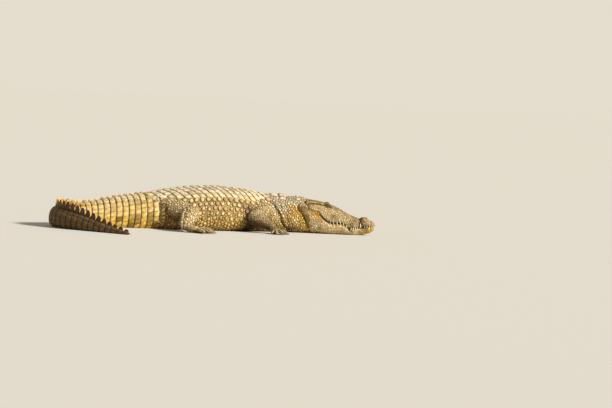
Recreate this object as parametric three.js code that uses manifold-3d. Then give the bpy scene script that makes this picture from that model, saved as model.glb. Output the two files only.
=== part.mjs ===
// A Nile crocodile resting on its belly with its tail curled round, life size, in millimetres.
// +X points where the head points, +Z is up, and the floor is z = 0.
// The origin is on the floor under the middle of the belly.
import * as THREE from 'three';
import { mergeVertices } from 'three/addons/utils/BufferGeometryUtils.js';
import Module from 'manifold-3d';

const wasm = await Module();
wasm.setup();

// ---- Driving dimensions: spine -----------------------------------------------------

// Distances along the spine, from the back of the skull to the tip of the tail.
const NECK_START = -92;
const SHOULDER = 400;
const BELLY = 920;
const HIP = 1430;
const VENT = 1530;
const TAIL_TIP = 3530;
const PATH_STEP = 10;

// Which way the spine runs tailwards: 0 degrees is straight back, 90 is to the animal's right.
const HEADING = [
  [0, 3], [SHOULDER, 10], [BELLY, 17], [HIP, 22], [2050, 20], [2270, 30],
  [2520, 86], [2790, 138], [2990, 149], [TAIL_TIP, 151],
];
// How far the upright of each section leans towards the animal's right, in degrees.
const LEAN = [[NECK_START, 0], [BELLY, 3], [HIP, 7], [1900, 14], [2250, 12], [2600, 2], [TAIL_TIP, 0]];

// Sections of the body: distance, half width, height of the back, height of the widest point.
const BODY = [
  [NECK_START, 116, 226, 96], [-50, 140, 284, 118], [0, 158, 330, 132], [60, 176, 346, 140],
  [130, 196, 344, 140], [260, 212, 350, 140], [SHOULDER, 240, 366, 145],
  [560, 286, 393, 150], [740, 326, 414, 155], [BELLY, 340, 422, 158],
  [1100, 330, 414, 155], [1280, 290, 392, 150], [HIP, 242, 368, 145],
  [1540, 206, 344, 140], [1700, 172, 316, 132], [1900, 142, 285, 122],
  [2100, 118, 242, 112], [2300, 98, 214, 103], [2500, 81, 200, 94],
  [2680, 66, 190, 88], [2850, 53, 170, 78], [3020, 41, 138, 62],
  [3200, 29, 92, 44], [3370, 17, 52, 25], [3490, 9, 26, 13], [TAIL_TIP, 4, 14, 7],
];
const UPPER_SQUARENESS = 2.2; // 2 is an ellipse, more is boxier
const LOWER_SQUARENESS = 2.8;
const SINK = 7; // how far each section reaches below the floor before it is laid flat

// Lengths of the body, each a node: name, start, end, steps round, steps along.
const LENGTHS = [
  ['neck', NECK_START, 395, 20, 7], ['trunk_front', 395, 860, 22, 7], ['trunk_rear', 860, VENT, 22, 9],
  ['tail_base', VENT, 2060, 18, 7], ['tail_middle', 2060, 2400, 16, 5], ['tail_bend', 2400, 2820, 14, 9],
  ['tail_rear', 2820, 3200, 12, 6], ['tail_end', 3200, TAIL_TIP, 10, 5],
];

// ---- Driving dimensions: crest of the tail and shield of the nape ------------------

// Two rows of blades that close up towards the tip and go on as one row.
const CREST_START = 1500;
const CREST_JOIN = 2560;
const CREST_OFFSET = [[CREST_START, 118], [1800, 86], [2150, 56], [CREST_JOIN, 13]];
const CREST_HEIGHT = [
  [CREST_START, 12], [1700, 14], [1880, 14], [2060, 11], [2200, 22], [2300, 38], [2360, 50],
  [2450, 56], [2560, 60], [2680, 68], [2800, 74], [2920, 66], [3040, 56], [3160, 46], [3300, 32],
  [3480, 16],
];
const FIRST_RING = 56; // length of the first ring of tail scales
const LAST_RING = 62;
const BLADE = { width: 15, root: 18, topStart: -0.2, topEnd: 0.46, share: 0.94 };

// Scutes of the nape, in pairs: [distance, offset, half length, half width, height].
const NAPE_SCUTES = [[236, 34, 40, 30, 26], [240, 98, 30, 26, 20], [318, 33, 38, 29, 22]];

// ---- Driving dimensions: head ------------------------------------------------------

// Distances from the tip of the snout to the back of the skull and of the jaw.
const HEAD_LENGTH = 668;
const JAW_LENGTH = 807;
const CHIN = 12;
const HEAD_STEPS = 20; // sections from the snout to the back of the skull
const JAW_STEPS = 22; // sections of the jaw, which starts one later and goes on past the skull

// Half width of the upper jaw and skull at the lips.
const LIP_WIDTH = [
  [0, 16], [5, 40], [18, 64], [40, 82], [72, 92], [104, 88], [138, 77], [165, 96], [200, 112],
  [240, 107], [300, 110], [380, 126], [460, 150], [540, 172], [620, 190], [HEAD_LENGTH, 196],
];
// Height of the snout and skull along the middle.
const HEAD_TOP = [
  [0, 98], [5, 114], [22, 130], [60, 146], [98, 168], [122, 170], [145, 158], [190, 168],
  [240, 186], [300, 213], [360, 246], [420, 270], [470, 286], [520, 300], [600, 312], [HEAD_LENGTH, 317],
];
// Half width of the flat top: narrow on the snout, wide on the skull table.
const TOP_FLAT = [
  [0, 4], [100, 26], [140, 12], [300, 22], [420, 30], [470, 44], [520, 74], [600, 86], [HEAD_LENGTH, 96],
];
const HEAD_SQUARENESS = [[0, 2.2], [420, 2.2], [520, 1.75], [HEAD_LENGTH, 1.6]];
// Height of the mouth line, which rises to the corner of the mouth and the jaw muscle behind it.
const MOUTH_LINE = [
  [0, 86], [40, 90], [90, 87], [126, 85], [148, 86], [176, 70], [205, 62], [240, 58], [259, 66],
  [282, 86], [309, 104], [338, 109], [400, 105], [428, 108], [453, 117], [482, 135], [512, 164],
  [528, 192], [545, 210], [600, 226], [HEAD_LENGTH, 242], [JAW_LENGTH, 266],
];
const LIP_GAP = 2.5;
const JAW_WIDTH = [
  [CHIN, 14], [16, 34], [32, 54], [66, 74], [110, 76], [150, 74], [200, 98], [250, 110], [300, 121],
  [380, 139], [460, 158], [560, 178], [640, 193], [700, 199], [728, 192], [748, 162], [765, 122],
  [JAW_LENGTH, 96],
];
const JAW_BOTTOM = [
  [CHIN, 54], [26, 34], [60, 18], [110, 6], [150, -SINK], [606, -SINK], [657, 66], [701, 134],
  [739, 180], [JAW_LENGTH, 242],
];
const NOTCH = { u: 141, out: 6, radius: 21, z: 94, tall: 1.9 };
const EYE = { u: 469, offset: 77, z: 266, radius: 23 };
const LID = { u: 468, offset: 60, z: 270, length: 50, width: 30, height: 32 };
const NOSTRIL_MOUND = { u: 110, z: 150, length: 38, width: 36, height: 22 };
// The jaw muscle that bulges behind the skull on each side.
const CHEEK = { u: 694, offset: 142, z: 236, length: 56, width: 52, height: 74 };
// Teeth that show with the mouth shut: [distance, length, how far inside the lip line].
const UPPER_TEETH = [
  [34, 22, 0], [54, 24, 0], [78, 20, 0], [100, 15, 0], [170, 15, 0], [188, 20, 0], [209, 26, 0], [230, 18, 0],
];
const LOWER_TEETH = [
  [141, 30, 14], [276, 15, 0], [304, 17, 0], [334, 17, 0], [366, 15, 0], [398, 13, 0], [430, 10, 0],
];
const TOOTH = { slimness: 0.27, root: 10, clearance: 1 };

// ---- Driving dimensions: limbs -----------------------------------------------------

// Joints are [forwards, outwards, up] from the spine; muscles are [share of length, radius].
const FRONT_LIMB = {
  at: SHOULDER - 20,
  top: [-20, 140, 190], bend: [-165, 335, 140], end: [5, 372, 66], palm: [34, 404, 32],
  upper: [[0, 84], [0.5, 86], [1, 66]], lower: [[0, 68], [0.35, 66], [1, 40]],
  palmSize: [50, 50, 29], footTurn: 52, webbed: false,
};
const HIND_LIMB = {
  at: HIP,
  top: [-14, 104, 200], bend: [196, 362, 160], end: [84, 512, 62], palm: [150, 540, 34],
  upper: [[0, 118], [0.45, 108], [1, 76]], lower: [[0, 80], [0.4, 76], [1, 48]],
  palmSize: [68, 57, 32], footTurn: 26, webbed: true,
};
// Toes, inner first: [turn outwards in degrees, length, radius at the root, has a claw].
const FINGERS = [[-34, 62, 18, 1], [-10, 78, 19, 1], [14, 84, 18, 1], [40, 76, 16, 0], [66, 58, 14, 0]];
const HIND_TOES = [[-24, 112, 21, 1], [-4, 138, 22, 1], [17, 140, 21, 1], [40, 110, 17, 0]];
const HEEL_SHARE = 0.7; // of the radius of the limb above it
const CLAW = { length: 30, point: 0.14, droop: 0.72 };
const WEB = { thickness: 9, lift: 3, back: 46, dip: 0.12 };

const GAP = 0.3; // clearance between neighbouring solids

// ---- Small mathematics -------------------------------------------------------------

// A smooth curve through the rows of a table; column 0 is where, and column n is how much.
// It never overshoots between two rows.
function read(table, x, column = 1) {
  const last = table.length - 1;
  if (x <= table[0][0]) return table[0][column];
  if (x >= table[last][0]) return table[last][column];
  let i = 0;
  while (table[i + 1][0] < x) i += 1;
  const slope = (k) => (table[k + 1][column] - table[k][column]) / (table[k + 1][0] - table[k][0]);
  const tangent = (k) => {
    if (k === 0) return slope(0);
    if (k === last) return slope(last - 1);
    const before = slope(k - 1);
    const after = slope(k);
    return before * after <= 0 ? 0 : (2 * before * after) / (before + after);
  };
  const span = table[i + 1][0] - table[i][0];
  const t = (x - table[i][0]) / span;
  const rise = table[i + 1][column] - table[i][column];
  const ease = t * t * (3 - 2 * t);
  const leave = tangent(i) * t * (1 - t) * (1 - t);
  const arrive = tangent(i + 1) * t * t * (1 - t);
  return table[i][column] + rise * ease + span * (leave - arrive);
}

const radians = THREE.MathUtils.degToRad;
const roundOff = (value, squareness) => Math.sign(value) * Math.abs(value) ** (2 / squareness);

// ---- The spine ---------------------------------------------------------------------

// Points on the floor under the spine, one every step, with the middle of the belly at the origin.
function spinePath() {
  const points = [new THREE.Vector2()];
  for (let s = 0; s < TAIL_TIP; s += PATH_STEP) {
    const turn = radians(read(HEADING, s + PATH_STEP / 2));
    const step = new THREE.Vector2(-Math.cos(turn), -Math.sin(turn)).multiplyScalar(PATH_STEP);
    points.push(points[points.length - 1].clone().add(step));
  }
  const middle = points[BELLY / PATH_STEP].clone();
  return points.map((point) => point.sub(middle));
}
const path = spinePath();

// The place on the floor at a distance along the spine, with the forward and left directions.
function spineAt(s) {
  const turn = radians(read(HEADING, s));
  const k = THREE.MathUtils.clamp(Math.floor(s / PATH_STEP), 0, path.length - 2);
  const point = path[k].clone().lerp(path[k + 1], s / PATH_STEP - k);
  return {
    place: new THREE.Vector3(point.x, point.y, 0),
    forward: new THREE.Vector3(Math.cos(turn), Math.sin(turn), 0),
    left: new THREE.Vector3(-Math.sin(turn), Math.cos(turn), 0),
  };
}

// A point from its offset to the left of the spine and its height, leaning with the body there.
function offSpine(s, offset, height) {
  const { place, left } = spineAt(s);
  const lean = radians(read(LEAN, s));
  return place
    .addScaledVector(left, offset * Math.cos(lean) - height * Math.sin(lean))
    .setZ(height * Math.cos(lean) + offset * Math.sin(lean));
}

// The head goes straight on from the front of the spine; u runs back from the tip of the snout.
function onHead(u, offset, z) {
  const { place } = spineAt(0);
  return place.add(new THREE.Vector3(HEAD_LENGTH - u, offset, z));
}

// ---- Solids ------------------------------------------------------------------------

function solidFrom(geometry) {
  const bare = geometry.clone();
  bare.deleteAttribute('normal');
  bare.deleteAttribute('uv');
  const merged = mergeVertices(bare, 1e-3);
  const corners = [0, 1, 2].map(() => new THREE.Vector3());
  const index = [];
  let volume = 0;
  for (let i = 0; i < merged.index.count; i += 3) {
    const triangle = [0, 1, 2].map((k) => merged.index.getX(i + k));
    if (new Set(triangle).size < 3) continue;
    index.push(...triangle);
    corners.forEach((corner, k) => corner.fromBufferAttribute(merged.attributes.position, triangle[k]));
    volume += corners[0].dot(corners[1].cross(corners[2]));
  }
  if (volume < 0) index.reverse();
  return new wasm.Manifold(new wasm.Mesh({
    numProp: 3,
    vertProperties: new Float32Array(merged.attributes.position.array),
    triVerts: new Uint32Array(index),
  }));
}

function geometryFrom(solid) {
  const mesh = solid.getMesh();
  const points = new Float32Array(mesh.numVert * 3);
  for (let i = 0; i < mesh.numVert; i += 1) {
    points.set(mesh.vertProperties.subarray(i * mesh.numProp, i * mesh.numProp + 3), i * 3);
  }
  const geometry = new THREE.BufferGeometry();
  geometry.setAttribute('position', new THREE.BufferAttribute(points, 3));
  geometry.setIndex(new THREE.BufferAttribute(mesh.triVerts, 1));
  const faceted = geometry.toNonIndexed();
  faceted.computeVertexNormals();
  return faceted;
}

const joined = (solids) => solids.reduce((all, solid) => all.add(solid));
const without = (solid, cutters) => cutters.reduce((rest, cutter) => rest.subtract(cutter), solid);

// A closed tube bent from a unit cylinder: shape(along 0..1, turn 0..1, radius 0 or 1) is a point.
// Nothing of it goes below the floor, so its underside is flat where it rests.
function tube(around, along, shape) {
  const geometry = new THREE.CylinderGeometry(1, 1, 1, around, along);
  const position = geometry.attributes.position;
  for (let i = 0; i < position.count; i += 1) {
    const [x, y, z] = [position.getX(i), position.getY(i), position.getZ(i)];
    const step = Math.round((Math.atan2(z, x) / (2 * Math.PI)) * around);
    const point = shape(0.5 - y, ((step + around) % around) / around, Math.round(Math.hypot(x, z)));
    position.setXYZ(i, point.x, point.y, Math.max(point.z, 0));
  }
  return solidFrom(geometry);
}

function ball(centre, [x, y, z], columns = 9, rows = 5) {
  const geometry = new THREE.SphereGeometry(1, columns, rows).scale(x, y, z);
  return solidFrom(geometry.translate(centre.x, centre.y, centre.z));
}

// ---- Body --------------------------------------------------------------------------

function bodyLength(from, to, around, along, grow = 0) {
  return tube(around, along, (t, turn, radius) => {
    const s = from + (to - from) * t;
    const waist = read(BODY, s, 3);
    const up = Math.sin(turn * 2 * Math.PI);
    const squareness = up > 0 ? UPPER_SQUARENESS : LOWER_SQUARENESS;
    const reach = (up > 0 ? read(BODY, s, 2) - waist : waist + SINK) + grow;
    const offset = (read(BODY, s, 1) + grow) * roundOff(Math.cos(turn * 2 * Math.PI), squareness);
    return offSpine(s, offset * radius, waist + reach * roundOff(up, squareness) * radius);
  });
}

// Height of the back at an offset from the middle.
function backHeight(s, offset) {
  const share = Math.min(Math.abs(offset) / read(BODY, s, 1), 0.95);
  const fall = (1 - share ** UPPER_SQUARENESS) ** (1 / UPPER_SQUARENESS);
  return read(BODY, s, 3) + (read(BODY, s, 2) - read(BODY, s, 3)) * fall;
}

// An upright blade of the crest, sharp on top and leaning tailwards, with its foot sunk in the tail.
function blade(s, offset, length, height) {
  const foot = backHeight(s, offset);
  const width = Math.min(BLADE.width, read(BODY, s, 1));
  const geometry = new THREE.BoxGeometry(1, 1, 1);
  const position = geometry.attributes.position;
  for (let i = 0; i < position.count; i += 1) {
    const isTop = position.getZ(i) > 0;
    const topAlong = position.getX(i) < 0 ? BLADE.topStart : BLADE.topEnd;
    const along = isTop ? topAlong : position.getX(i);
    const across = isTop ? 0 : position.getY(i) * width;
    const z = isTop ? foot + height : foot - Math.min(BLADE.root, foot / 2);
    const point = offSpine(s + along * length, offset + across, z);
    position.setXYZ(i, point.x, point.y, point.z);
  }
  return solidFrom(geometry);
}

// Every ring of tail scales, by its middle and length, a little longer towards the tip.
function tailRings() {
  const rings = [];
  let s = CREST_START;
  while (s < TAIL_TIP - LAST_RING) {
    const length = THREE.MathUtils.mapLinear(s, CREST_START, TAIL_TIP, FIRST_RING, LAST_RING);
    rings.push({ s: s + length / 2, length });
    s += length;
  }
  return rings;
}

function crestBlades(from, to) {
  const inside = ({ s, length }) => s - length * 0.6 > from && s + length * 0.6 < to;
  return tailRings().filter(inside).flatMap(({ s, length }) => {
    const offset = read(CREST_OFFSET, s);
    const sides = s < CREST_JOIN ? [-offset, offset] : [0];
    return sides.map((side) => blade(s, side, length * BLADE.share, read(CREST_HEIGHT, s)));
  });
}

function napeScute([s, offset, length, width, height], side) {
  const geometry = new THREE.ConeGeometry(1, 1, 7);
  const position = geometry.attributes.position;
  const foot = backHeight(s, offset) - height * 0.4;
  for (let i = 0; i < position.count; i += 1) {
    const across = side * offset + position.getZ(i) * width;
    const up = foot + (position.getY(i) + 0.5) * height * 1.4;
    const point = offSpine(s + position.getX(i) * length, across, up);
    position.setXYZ(i, point.x, point.y, point.z);
  }
  return solidFrom(geometry);
}

// ---- Head --------------------------------------------------------------------------

// A head section is flat over one share of its turn and round over the rest.
const FLAT_SHARE = 0.2;
function sectionTurn(turn) {
  const round = 1 - FLAT_SHARE;
  if (turn < round) return { angle: (turn / round) * Math.PI };
  return { across: ((turn - round) / FLAT_SHARE) * 2 - 1 };
}

// Both jaws have their sections in the same places, closer together at the tip, where the
// outline turns fastest, so that their lips run parallel.
const sectionAt = (step) => HEAD_LENGTH * (step / HEAD_STEPS) ** 1.35;

function upperHead(grow = 0) {
  return tube(20, HEAD_STEPS, (t, turn, radius) => {
    const u = sectionAt(t * HEAD_STEPS) + (t === 1 ? grow : 0);
    const halfWidth = read(LIP_WIDTH, u) + grow;
    const lip = read(MOUTH_LINE, u) + LIP_GAP / 2 - grow;
    const top = read(HEAD_TOP, u) + grow;
    const { angle, across } = sectionTurn(turn);
    if (radius === 0) return onHead(u, 0, (lip + top) / 2);
    if (across !== undefined) return onHead(u, across * halfWidth, lip);
    const flat = Math.min(read(TOP_FLAT, u), halfWidth / 2);
    const squareness = read(HEAD_SQUARENESS, u);
    const side = roundOff(Math.cos(angle), squareness);
    const offset = THREE.MathUtils.clamp(side * 4, -1, 1) * flat + side * (halfWidth - flat);
    return onHead(u, offset, lip + (top - lip) * roundOff(Math.sin(angle), squareness));
  });
}

function lowerJawBody(grow = 0) {
  return tube(15, JAW_STEPS, (t, turn, radius) => {
    const u = sectionAt(1 + t * JAW_STEPS) + (t === 1 ? grow : 0);
    const halfWidth = read(JAW_WIDTH, u) + grow;
    const lip = read(MOUTH_LINE, u) - LIP_GAP / 2 + grow;
    const bottom = read(JAW_BOTTOM, u) - grow;
    const { angle, across } = sectionTurn(turn);
    if (radius === 0) return onHead(u, 0, (lip + Math.max(bottom, 0)) / 2);
    if (across !== undefined) return onHead(u, -across * halfWidth, lip);
    const offset = -halfWidth * roundOff(Math.cos(angle), LOWER_SQUARENESS);
    return onHead(u, offset, lip - (lip - bottom) * roundOff(Math.sin(angle), LOWER_SQUARENESS));
  });
}

// Teeth stand outside the lip of the other jaw, pointing down (-1) or up (1).
function teeth(rows, otherLip, way) {
  return rows.flatMap(([u, length, inside]) => [-1, 1].map((side) => {
    const radius = length * TOOTH.slimness;
    const geometry = new THREE.ConeGeometry(radius, length + TOOTH.root, 5);
    geometry.rotateX((way * Math.PI) / 2);
    const offset = read(otherLip, u) + radius + TOOTH.clearance - inside;
    const place = onHead(u, side * offset, read(MOUTH_LINE, u) + (way * (length - TOOTH.root)) / 2);
    return solidFrom(geometry.translate(place.x, place.y, place.z));
  }));
}

function eyeBall(side, grow = 0) {
  const radius = EYE.radius + grow;
  return ball(onHead(EYE.u, side * EYE.offset, EYE.z), [radius, radius, radius]);
}

function notch(side) {
  const centre = onHead(NOTCH.u, side * (read(LIP_WIDTH, NOTCH.u) + NOTCH.out), NOTCH.z);
  return ball(centre, [NOTCH.radius, NOTCH.radius, NOTCH.radius * NOTCH.tall]);
}

function head() {
  const lid = (side) => ball(onHead(LID.u, side * LID.offset, LID.z), [LID.length, LID.width, LID.height]);
  const { u, z, length, width, height } = NOSTRIL_MOUND;
  const nostrils = ball(onHead(u, 0, z), [length, width, height]);
  const whole = joined([upperHead(), lid(-1), lid(1), nostrils, ...teeth(UPPER_TEETH, JAW_WIDTH, -1)]);
  return without(whole, [notch(-1), notch(1), eyeBall(-1, GAP), eyeBall(1, GAP)]);
}

function cheek(side, grow = 0) {
  const size = [CHEEK.length, CHEEK.width, CHEEK.height].map((radius) => radius + grow);
  const behindSkull = onHead(HEAD_LENGTH, 0, 0).x - GAP + grow;
  return ball(onHead(CHEEK.u, side * CHEEK.offset, CHEEK.z), size, 11, 7)
    .trimByPlane([-1, 0, 0], -behindSkull);
}

function lowerJaw() {
  return joined([lowerJawBody(), cheek(-1), cheek(1), ...teeth(LOWER_TEETH, LIP_WIDTH, 1)]);
}

// ---- Limbs -------------------------------------------------------------------------

// A rounded muscle from one joint to the next, with its radius along it from a table.
function muscle(from, to, radii, { grow = 0, around = 10, along = 6 } = {}) {
  const axis = to.clone().sub(from);
  const length = axis.length();
  axis.normalize();
  const side = new THREE.Vector3().crossVectors(axis, new THREE.Vector3(0, 0, 1)).normalize();
  const up = new THREE.Vector3().crossVectors(side, axis);
  const [startCap, endCap] = [radii[0][1] * 0.8, radii[radii.length - 1][1] * 0.8];
  return tube(around, along, (t, turn, radius) => {
    const swing = -Math.cos(t * Math.PI);
    const x = THREE.MathUtils.mapLinear(swing, -1, 1, -startCap - grow, length + endCap + grow);
    const pastEnd = x < 0 ? -x / (startCap + grow) : Math.max(0, (x - length) / (endCap + grow));
    const full = read(radii, THREE.MathUtils.clamp(x / length, 0, 1)) + grow;
    const r = full * Math.sqrt(Math.max(1 - pastEnd ** 2, 0.03)) * radius;
    const angle = turn * 2 * Math.PI;
    return from.clone()
      .addScaledVector(axis, x)
      .addScaledVector(side, Math.cos(angle) * r)
      .addScaledVector(up, Math.sin(angle) * r);
  });
}

// A place on a limb: [forwards, outwards, up] from the spine, on the left (1) or right (-1).
function limbPlace(limb, side, [along, out, up]) {
  const { place, forward, left } = spineAt(limb.at);
  return place.addScaledVector(forward, along).addScaledVector(left, side * out).setZ(up);
}

// A toe's line on the floor, its solid, and the tip that its claw grows from.
function toe(limb, side, [turn, length, rootRadius]) {
  const { forward, left } = spineAt(limb.at);
  const angle = radians(limb.footTurn + turn);
  const way = forward.multiplyScalar(Math.cos(angle)).addScaledVector(left, side * Math.sin(angle));
  const across = new THREE.Vector3(0, 0, 1).cross(way);
  const root = limbPlace(limb, side, limb.palm).addScaledVector(way, limb.palmSize[0] * 0.35);
  const reach = limb.palmSize[0] * 0.6 + length;
  const middle = [[0, root.z * 0.9], [0.55, rootRadius * 1.5], [1, rootRadius * 0.72]];
  const thickness = [[0, rootRadius * 1.1], [0.8, rootRadius * 0.95], [1, rootRadius * 0.62]];
  const solid = tube(6, 3, (t, round, radius) => {
    const r = read(thickness, t) * radius;
    const height = read(middle, t) + Math.sin(round * 2 * Math.PI) * r;
    return root.clone().addScaledVector(way, t * reach).setZ(height)
      .addScaledVector(across, Math.cos(round * 2 * Math.PI) * r);
  });
  const tip = root.clone().addScaledVector(way, reach + GAP).setZ(rootRadius * 0.72);
  return { solid, tip, way, across, tipRadius: rootRadius * 0.6 };
}

function claw({ tip, way, across, tipRadius }) {
  return tube(5, 3, (t, round, radius) => {
    const r = tipRadius * (1 - t * (1 - CLAW.point)) * radius;
    const height = tip.z * (1 - CLAW.droop * t * t) + Math.sin(round * 2 * Math.PI) * r;
    return tip.clone().addScaledVector(way, CLAW.length * t).setZ(height)
      .addScaledVector(across, Math.cos(round * 2 * Math.PI) * r);
  });
}

// A thin web that runs from toe to toe, dipping between them.
function web(toes, root) {
  const ends = toes.map(({ tip, way }) => tip.clone().addScaledVector(way, -WEB.back));
  const dips = ends.slice(1).map((end, k) => end.clone().lerp(ends[k], 0.5).lerp(root, WEB.dip));
  const edge = ends.flatMap((end, k) => (k < dips.length ? [end, dips[k]] : [end]));
  const outline = new THREE.Shape([root, ...edge].map(({ x, y }) => new THREE.Vector2(x, y)));
  const geometry = new THREE.ExtrudeGeometry(outline, { depth: WEB.thickness, bevelEnabled: false });
  return solidFrom(geometry.translate(0, 0, WEB.lift));
}

function foot(limb, side, toes) {
  const root = limbPlace(limb, side, limb.palm);
  const [length, width, height] = limb.palmSize;
  const ankle = limb.lower[limb.lower.length - 1][1] * HEEL_SHARE;
  const heelRadii = [[0, ankle], [1, height]];
  const heel = muscle(limbPlace(limb, side, limb.end), root, heelRadii, { around: 8, along: 4 });
  const palm = ball(root, [length, width, height]);
  const underFloor = new THREE.BoxGeometry(1000, 1000, 200).translate(root.x, root.y, -100);
  const webs = limb.webbed ? [web(toes, root)] : [];
  return joined([heel, palm, ...webs, ...toes.map(({ solid }) => solid)]).subtract(solidFrom(underFloor));
}

function limbSolids(limb, side, toeRows, torso) {
  const [top, bend, end] = [limb.top, limb.bend, limb.end].map((joint) => limbPlace(limb, side, joint));
  const upper = (grow) => muscle(top, bend, limb.upper, { grow });
  const lower = (grow) => muscle(bend, end, limb.lower, { grow });
  const toes = toeRows.map((row) => toe(limb, side, row));
  return {
    upper: without(upper(0), torso),
    lower: without(lower(0), [upper(GAP), ...torso]),
    foot: without(foot(limb, side, toes), [lower(GAP), upper(GAP), ...torso]),
    claws: toes.filter((_, k) => toeRows[k][3]).map(claw),
  };
}

// ---- The whole animal --------------------------------------------------------------

const hide = new THREE.MeshStandardMaterial({ color: 0xb59a66, roughness: 0.8, metalness: 0 });
const headHide = new THREE.MeshStandardMaterial({ color: 0xa48e64, roughness: 0.8, metalness: 0 });
const eyeGloss = new THREE.MeshStandardMaterial({ color: 0x6d6a2c, roughness: 0.12, metalness: 0 });
const horn = new THREE.MeshStandardMaterial({ color: 0x5d5142, roughness: 0.5, metalness: 0 });

const crocodile = new THREE.Group();
function add(name, solid, material) {
  const mesh = new THREE.Mesh(geometryFrom(solid), material);
  mesh.name = name;
  crocodile.add(mesh);
}

add('head', head(), headHide);
add('lower_jaw', lowerJaw(), headHide);

LENGTHS.forEach(([name, from, to, around, along]) => {
  const isNeck = name === 'neck';
  const start = isNeck ? from : from + GAP / 2;
  const end = to === TAIL_TIP ? to : to - GAP / 2;
  const scutes = isNeck ? NAPE_SCUTES.flatMap((row) => [napeScute(row, -1), napeScute(row, 1)]) : [];
  const whole = joined([bodyLength(start, end, around, along), ...scutes, ...crestBlades(from, to)]);
  const skull = isNeck ? [upperHead(GAP), lowerJawBody(GAP), cheek(-1, GAP), cheek(1, GAP)] : [];
  add(name, without(whole, skull), hide);
});

// The body's lengths, a little larger and overlapping, to cut the limbs back to its surface.
const torso = LENGTHS.slice(0, 4)
  .map(([, from, to, around, along]) => bodyLength(from - GAP, to + GAP, around, along, GAP));
const LIMBS = [
  [FRONT_LIMB, FINGERS, { upper: 'upper_arm', lower: 'forearm', foot: 'hand' }],
  [HIND_LIMB, HIND_TOES, { upper: 'thigh', lower: 'shank', foot: 'foot' }],
];
[['right', -1], ['left', 1]].forEach(([word, side]) => {
  add(`eye_${word}`, eyeBall(side), eyeGloss);
  LIMBS.forEach(([limb, toeRows, names]) => {
    const { claws, ...parts } = limbSolids(limb, side, toeRows, torso);
    Object.entries(parts).forEach(([part, solid]) => add(`${names[part]}_${word}`, solid, hide));
    claws.forEach((solid, k) => add(`${names.foot}_claw_${word}_${k + 1}`, solid, horn));
  });
});

export default crocodile;
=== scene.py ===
"""The looks of a Nile crocodile at rest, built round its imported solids.

One skin stands for all of the flesh, and its scales are small solid plates laid over it.
Lengths in this script are millimetres, as they are in the part, and a mesh is given metres.
"""

import math

import bmesh
import bpy
import numpy as np
from mathutils import Matrix, Vector, kdtree
from mathutils.bvhtree import BVHTree


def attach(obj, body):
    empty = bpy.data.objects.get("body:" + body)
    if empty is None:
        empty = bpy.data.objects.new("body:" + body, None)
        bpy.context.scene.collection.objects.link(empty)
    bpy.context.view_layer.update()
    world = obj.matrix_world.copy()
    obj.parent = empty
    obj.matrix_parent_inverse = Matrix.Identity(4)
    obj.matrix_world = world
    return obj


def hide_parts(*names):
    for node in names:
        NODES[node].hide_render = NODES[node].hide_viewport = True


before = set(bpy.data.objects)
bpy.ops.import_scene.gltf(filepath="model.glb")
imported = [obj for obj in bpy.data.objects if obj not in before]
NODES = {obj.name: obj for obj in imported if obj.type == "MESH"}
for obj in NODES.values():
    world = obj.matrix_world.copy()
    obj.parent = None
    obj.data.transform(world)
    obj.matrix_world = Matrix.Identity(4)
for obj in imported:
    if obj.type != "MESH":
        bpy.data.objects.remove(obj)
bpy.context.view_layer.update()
MM = 0.001

# ---- Sizes of the part: spine and body -----------------------------------------------------

# Distances along the spine, from the back of the skull to the tip of the tail.
NECK_START = -92
SHOULDER = 400
BELLY = 920
HIP = 1430
VENT = 1530
TAIL_TIP = 3530
PATH_STEP = 10

# Which way the spine runs tailwards: 0 degrees is straight back, 90 is to the animal's right.
HEADING = [
    [0, 3], [SHOULDER, 10], [BELLY, 17], [HIP, 22], [2050, 20], [2270, 30],
    [2520, 86], [2790, 138], [2990, 149], [TAIL_TIP, 151],
]
# How far the upright of each section leans towards the animal's right, in degrees.
LEAN = [[NECK_START, 0], [BELLY, 3], [HIP, 7], [1900, 14], [2250, 12], [2600, 2], [TAIL_TIP, 0]]

# Sections of the body: distance, half width, height of the back, height of the widest point.
BODY = [
    [NECK_START, 116, 226, 96], [-50, 140, 284, 118], [0, 158, 330, 132], [60, 176, 346, 140],
    [130, 196, 344, 140], [260, 212, 350, 140], [SHOULDER, 240, 366, 145],
    [560, 286, 393, 150], [740, 326, 414, 155], [BELLY, 340, 422, 158],
    [1100, 330, 414, 155], [1280, 290, 392, 150], [HIP, 242, 368, 145],
    [1540, 206, 344, 140], [1700, 172, 316, 132], [1900, 142, 285, 122],
    [2100, 118, 242, 112], [2300, 98, 214, 103], [2500, 81, 200, 94],
    [2680, 66, 190, 88], [2850, 53, 170, 78], [3020, 41, 138, 62],
    [3200, 29, 92, 44], [3370, 17, 52, 25], [3490, 9, 26, 13], [TAIL_TIP, 4, 14, 7],
]
UPPER_SQUARENESS = 2.2  # 2 is an ellipse, more is boxier
LOWER_SQUARENESS = 2.8
SINK = 7  # how far each section reaches below the floor before it is laid flat

CREST_START = 1500
CREST_JOIN = 2560
CREST_OFFSET = [[CREST_START, 118], [1800, 86], [2150, 56], [CREST_JOIN, 13]]
CREST_HEIGHT = [
    [CREST_START, 12], [1700, 14], [1880, 14], [2060, 11], [2200, 22], [2300, 38], [2360, 50],
    [2450, 56], [2560, 60], [2680, 68], [2800, 74], [2920, 66], [3040, 56], [3160, 46],
    [3300, 32], [3480, 16],
]
FIRST_RING = 56
LAST_RING = 62
# Scutes of the nape, in pairs: [distance, offset, half length, half width, height].
NAPE_SCUTES = [[236, 34, 40, 30, 26], [240, 98, 30, 26, 20], [318, 33, 38, 29, 22]]

# ---- Sizes of the part: head ---------------------------------------------------------------

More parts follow.
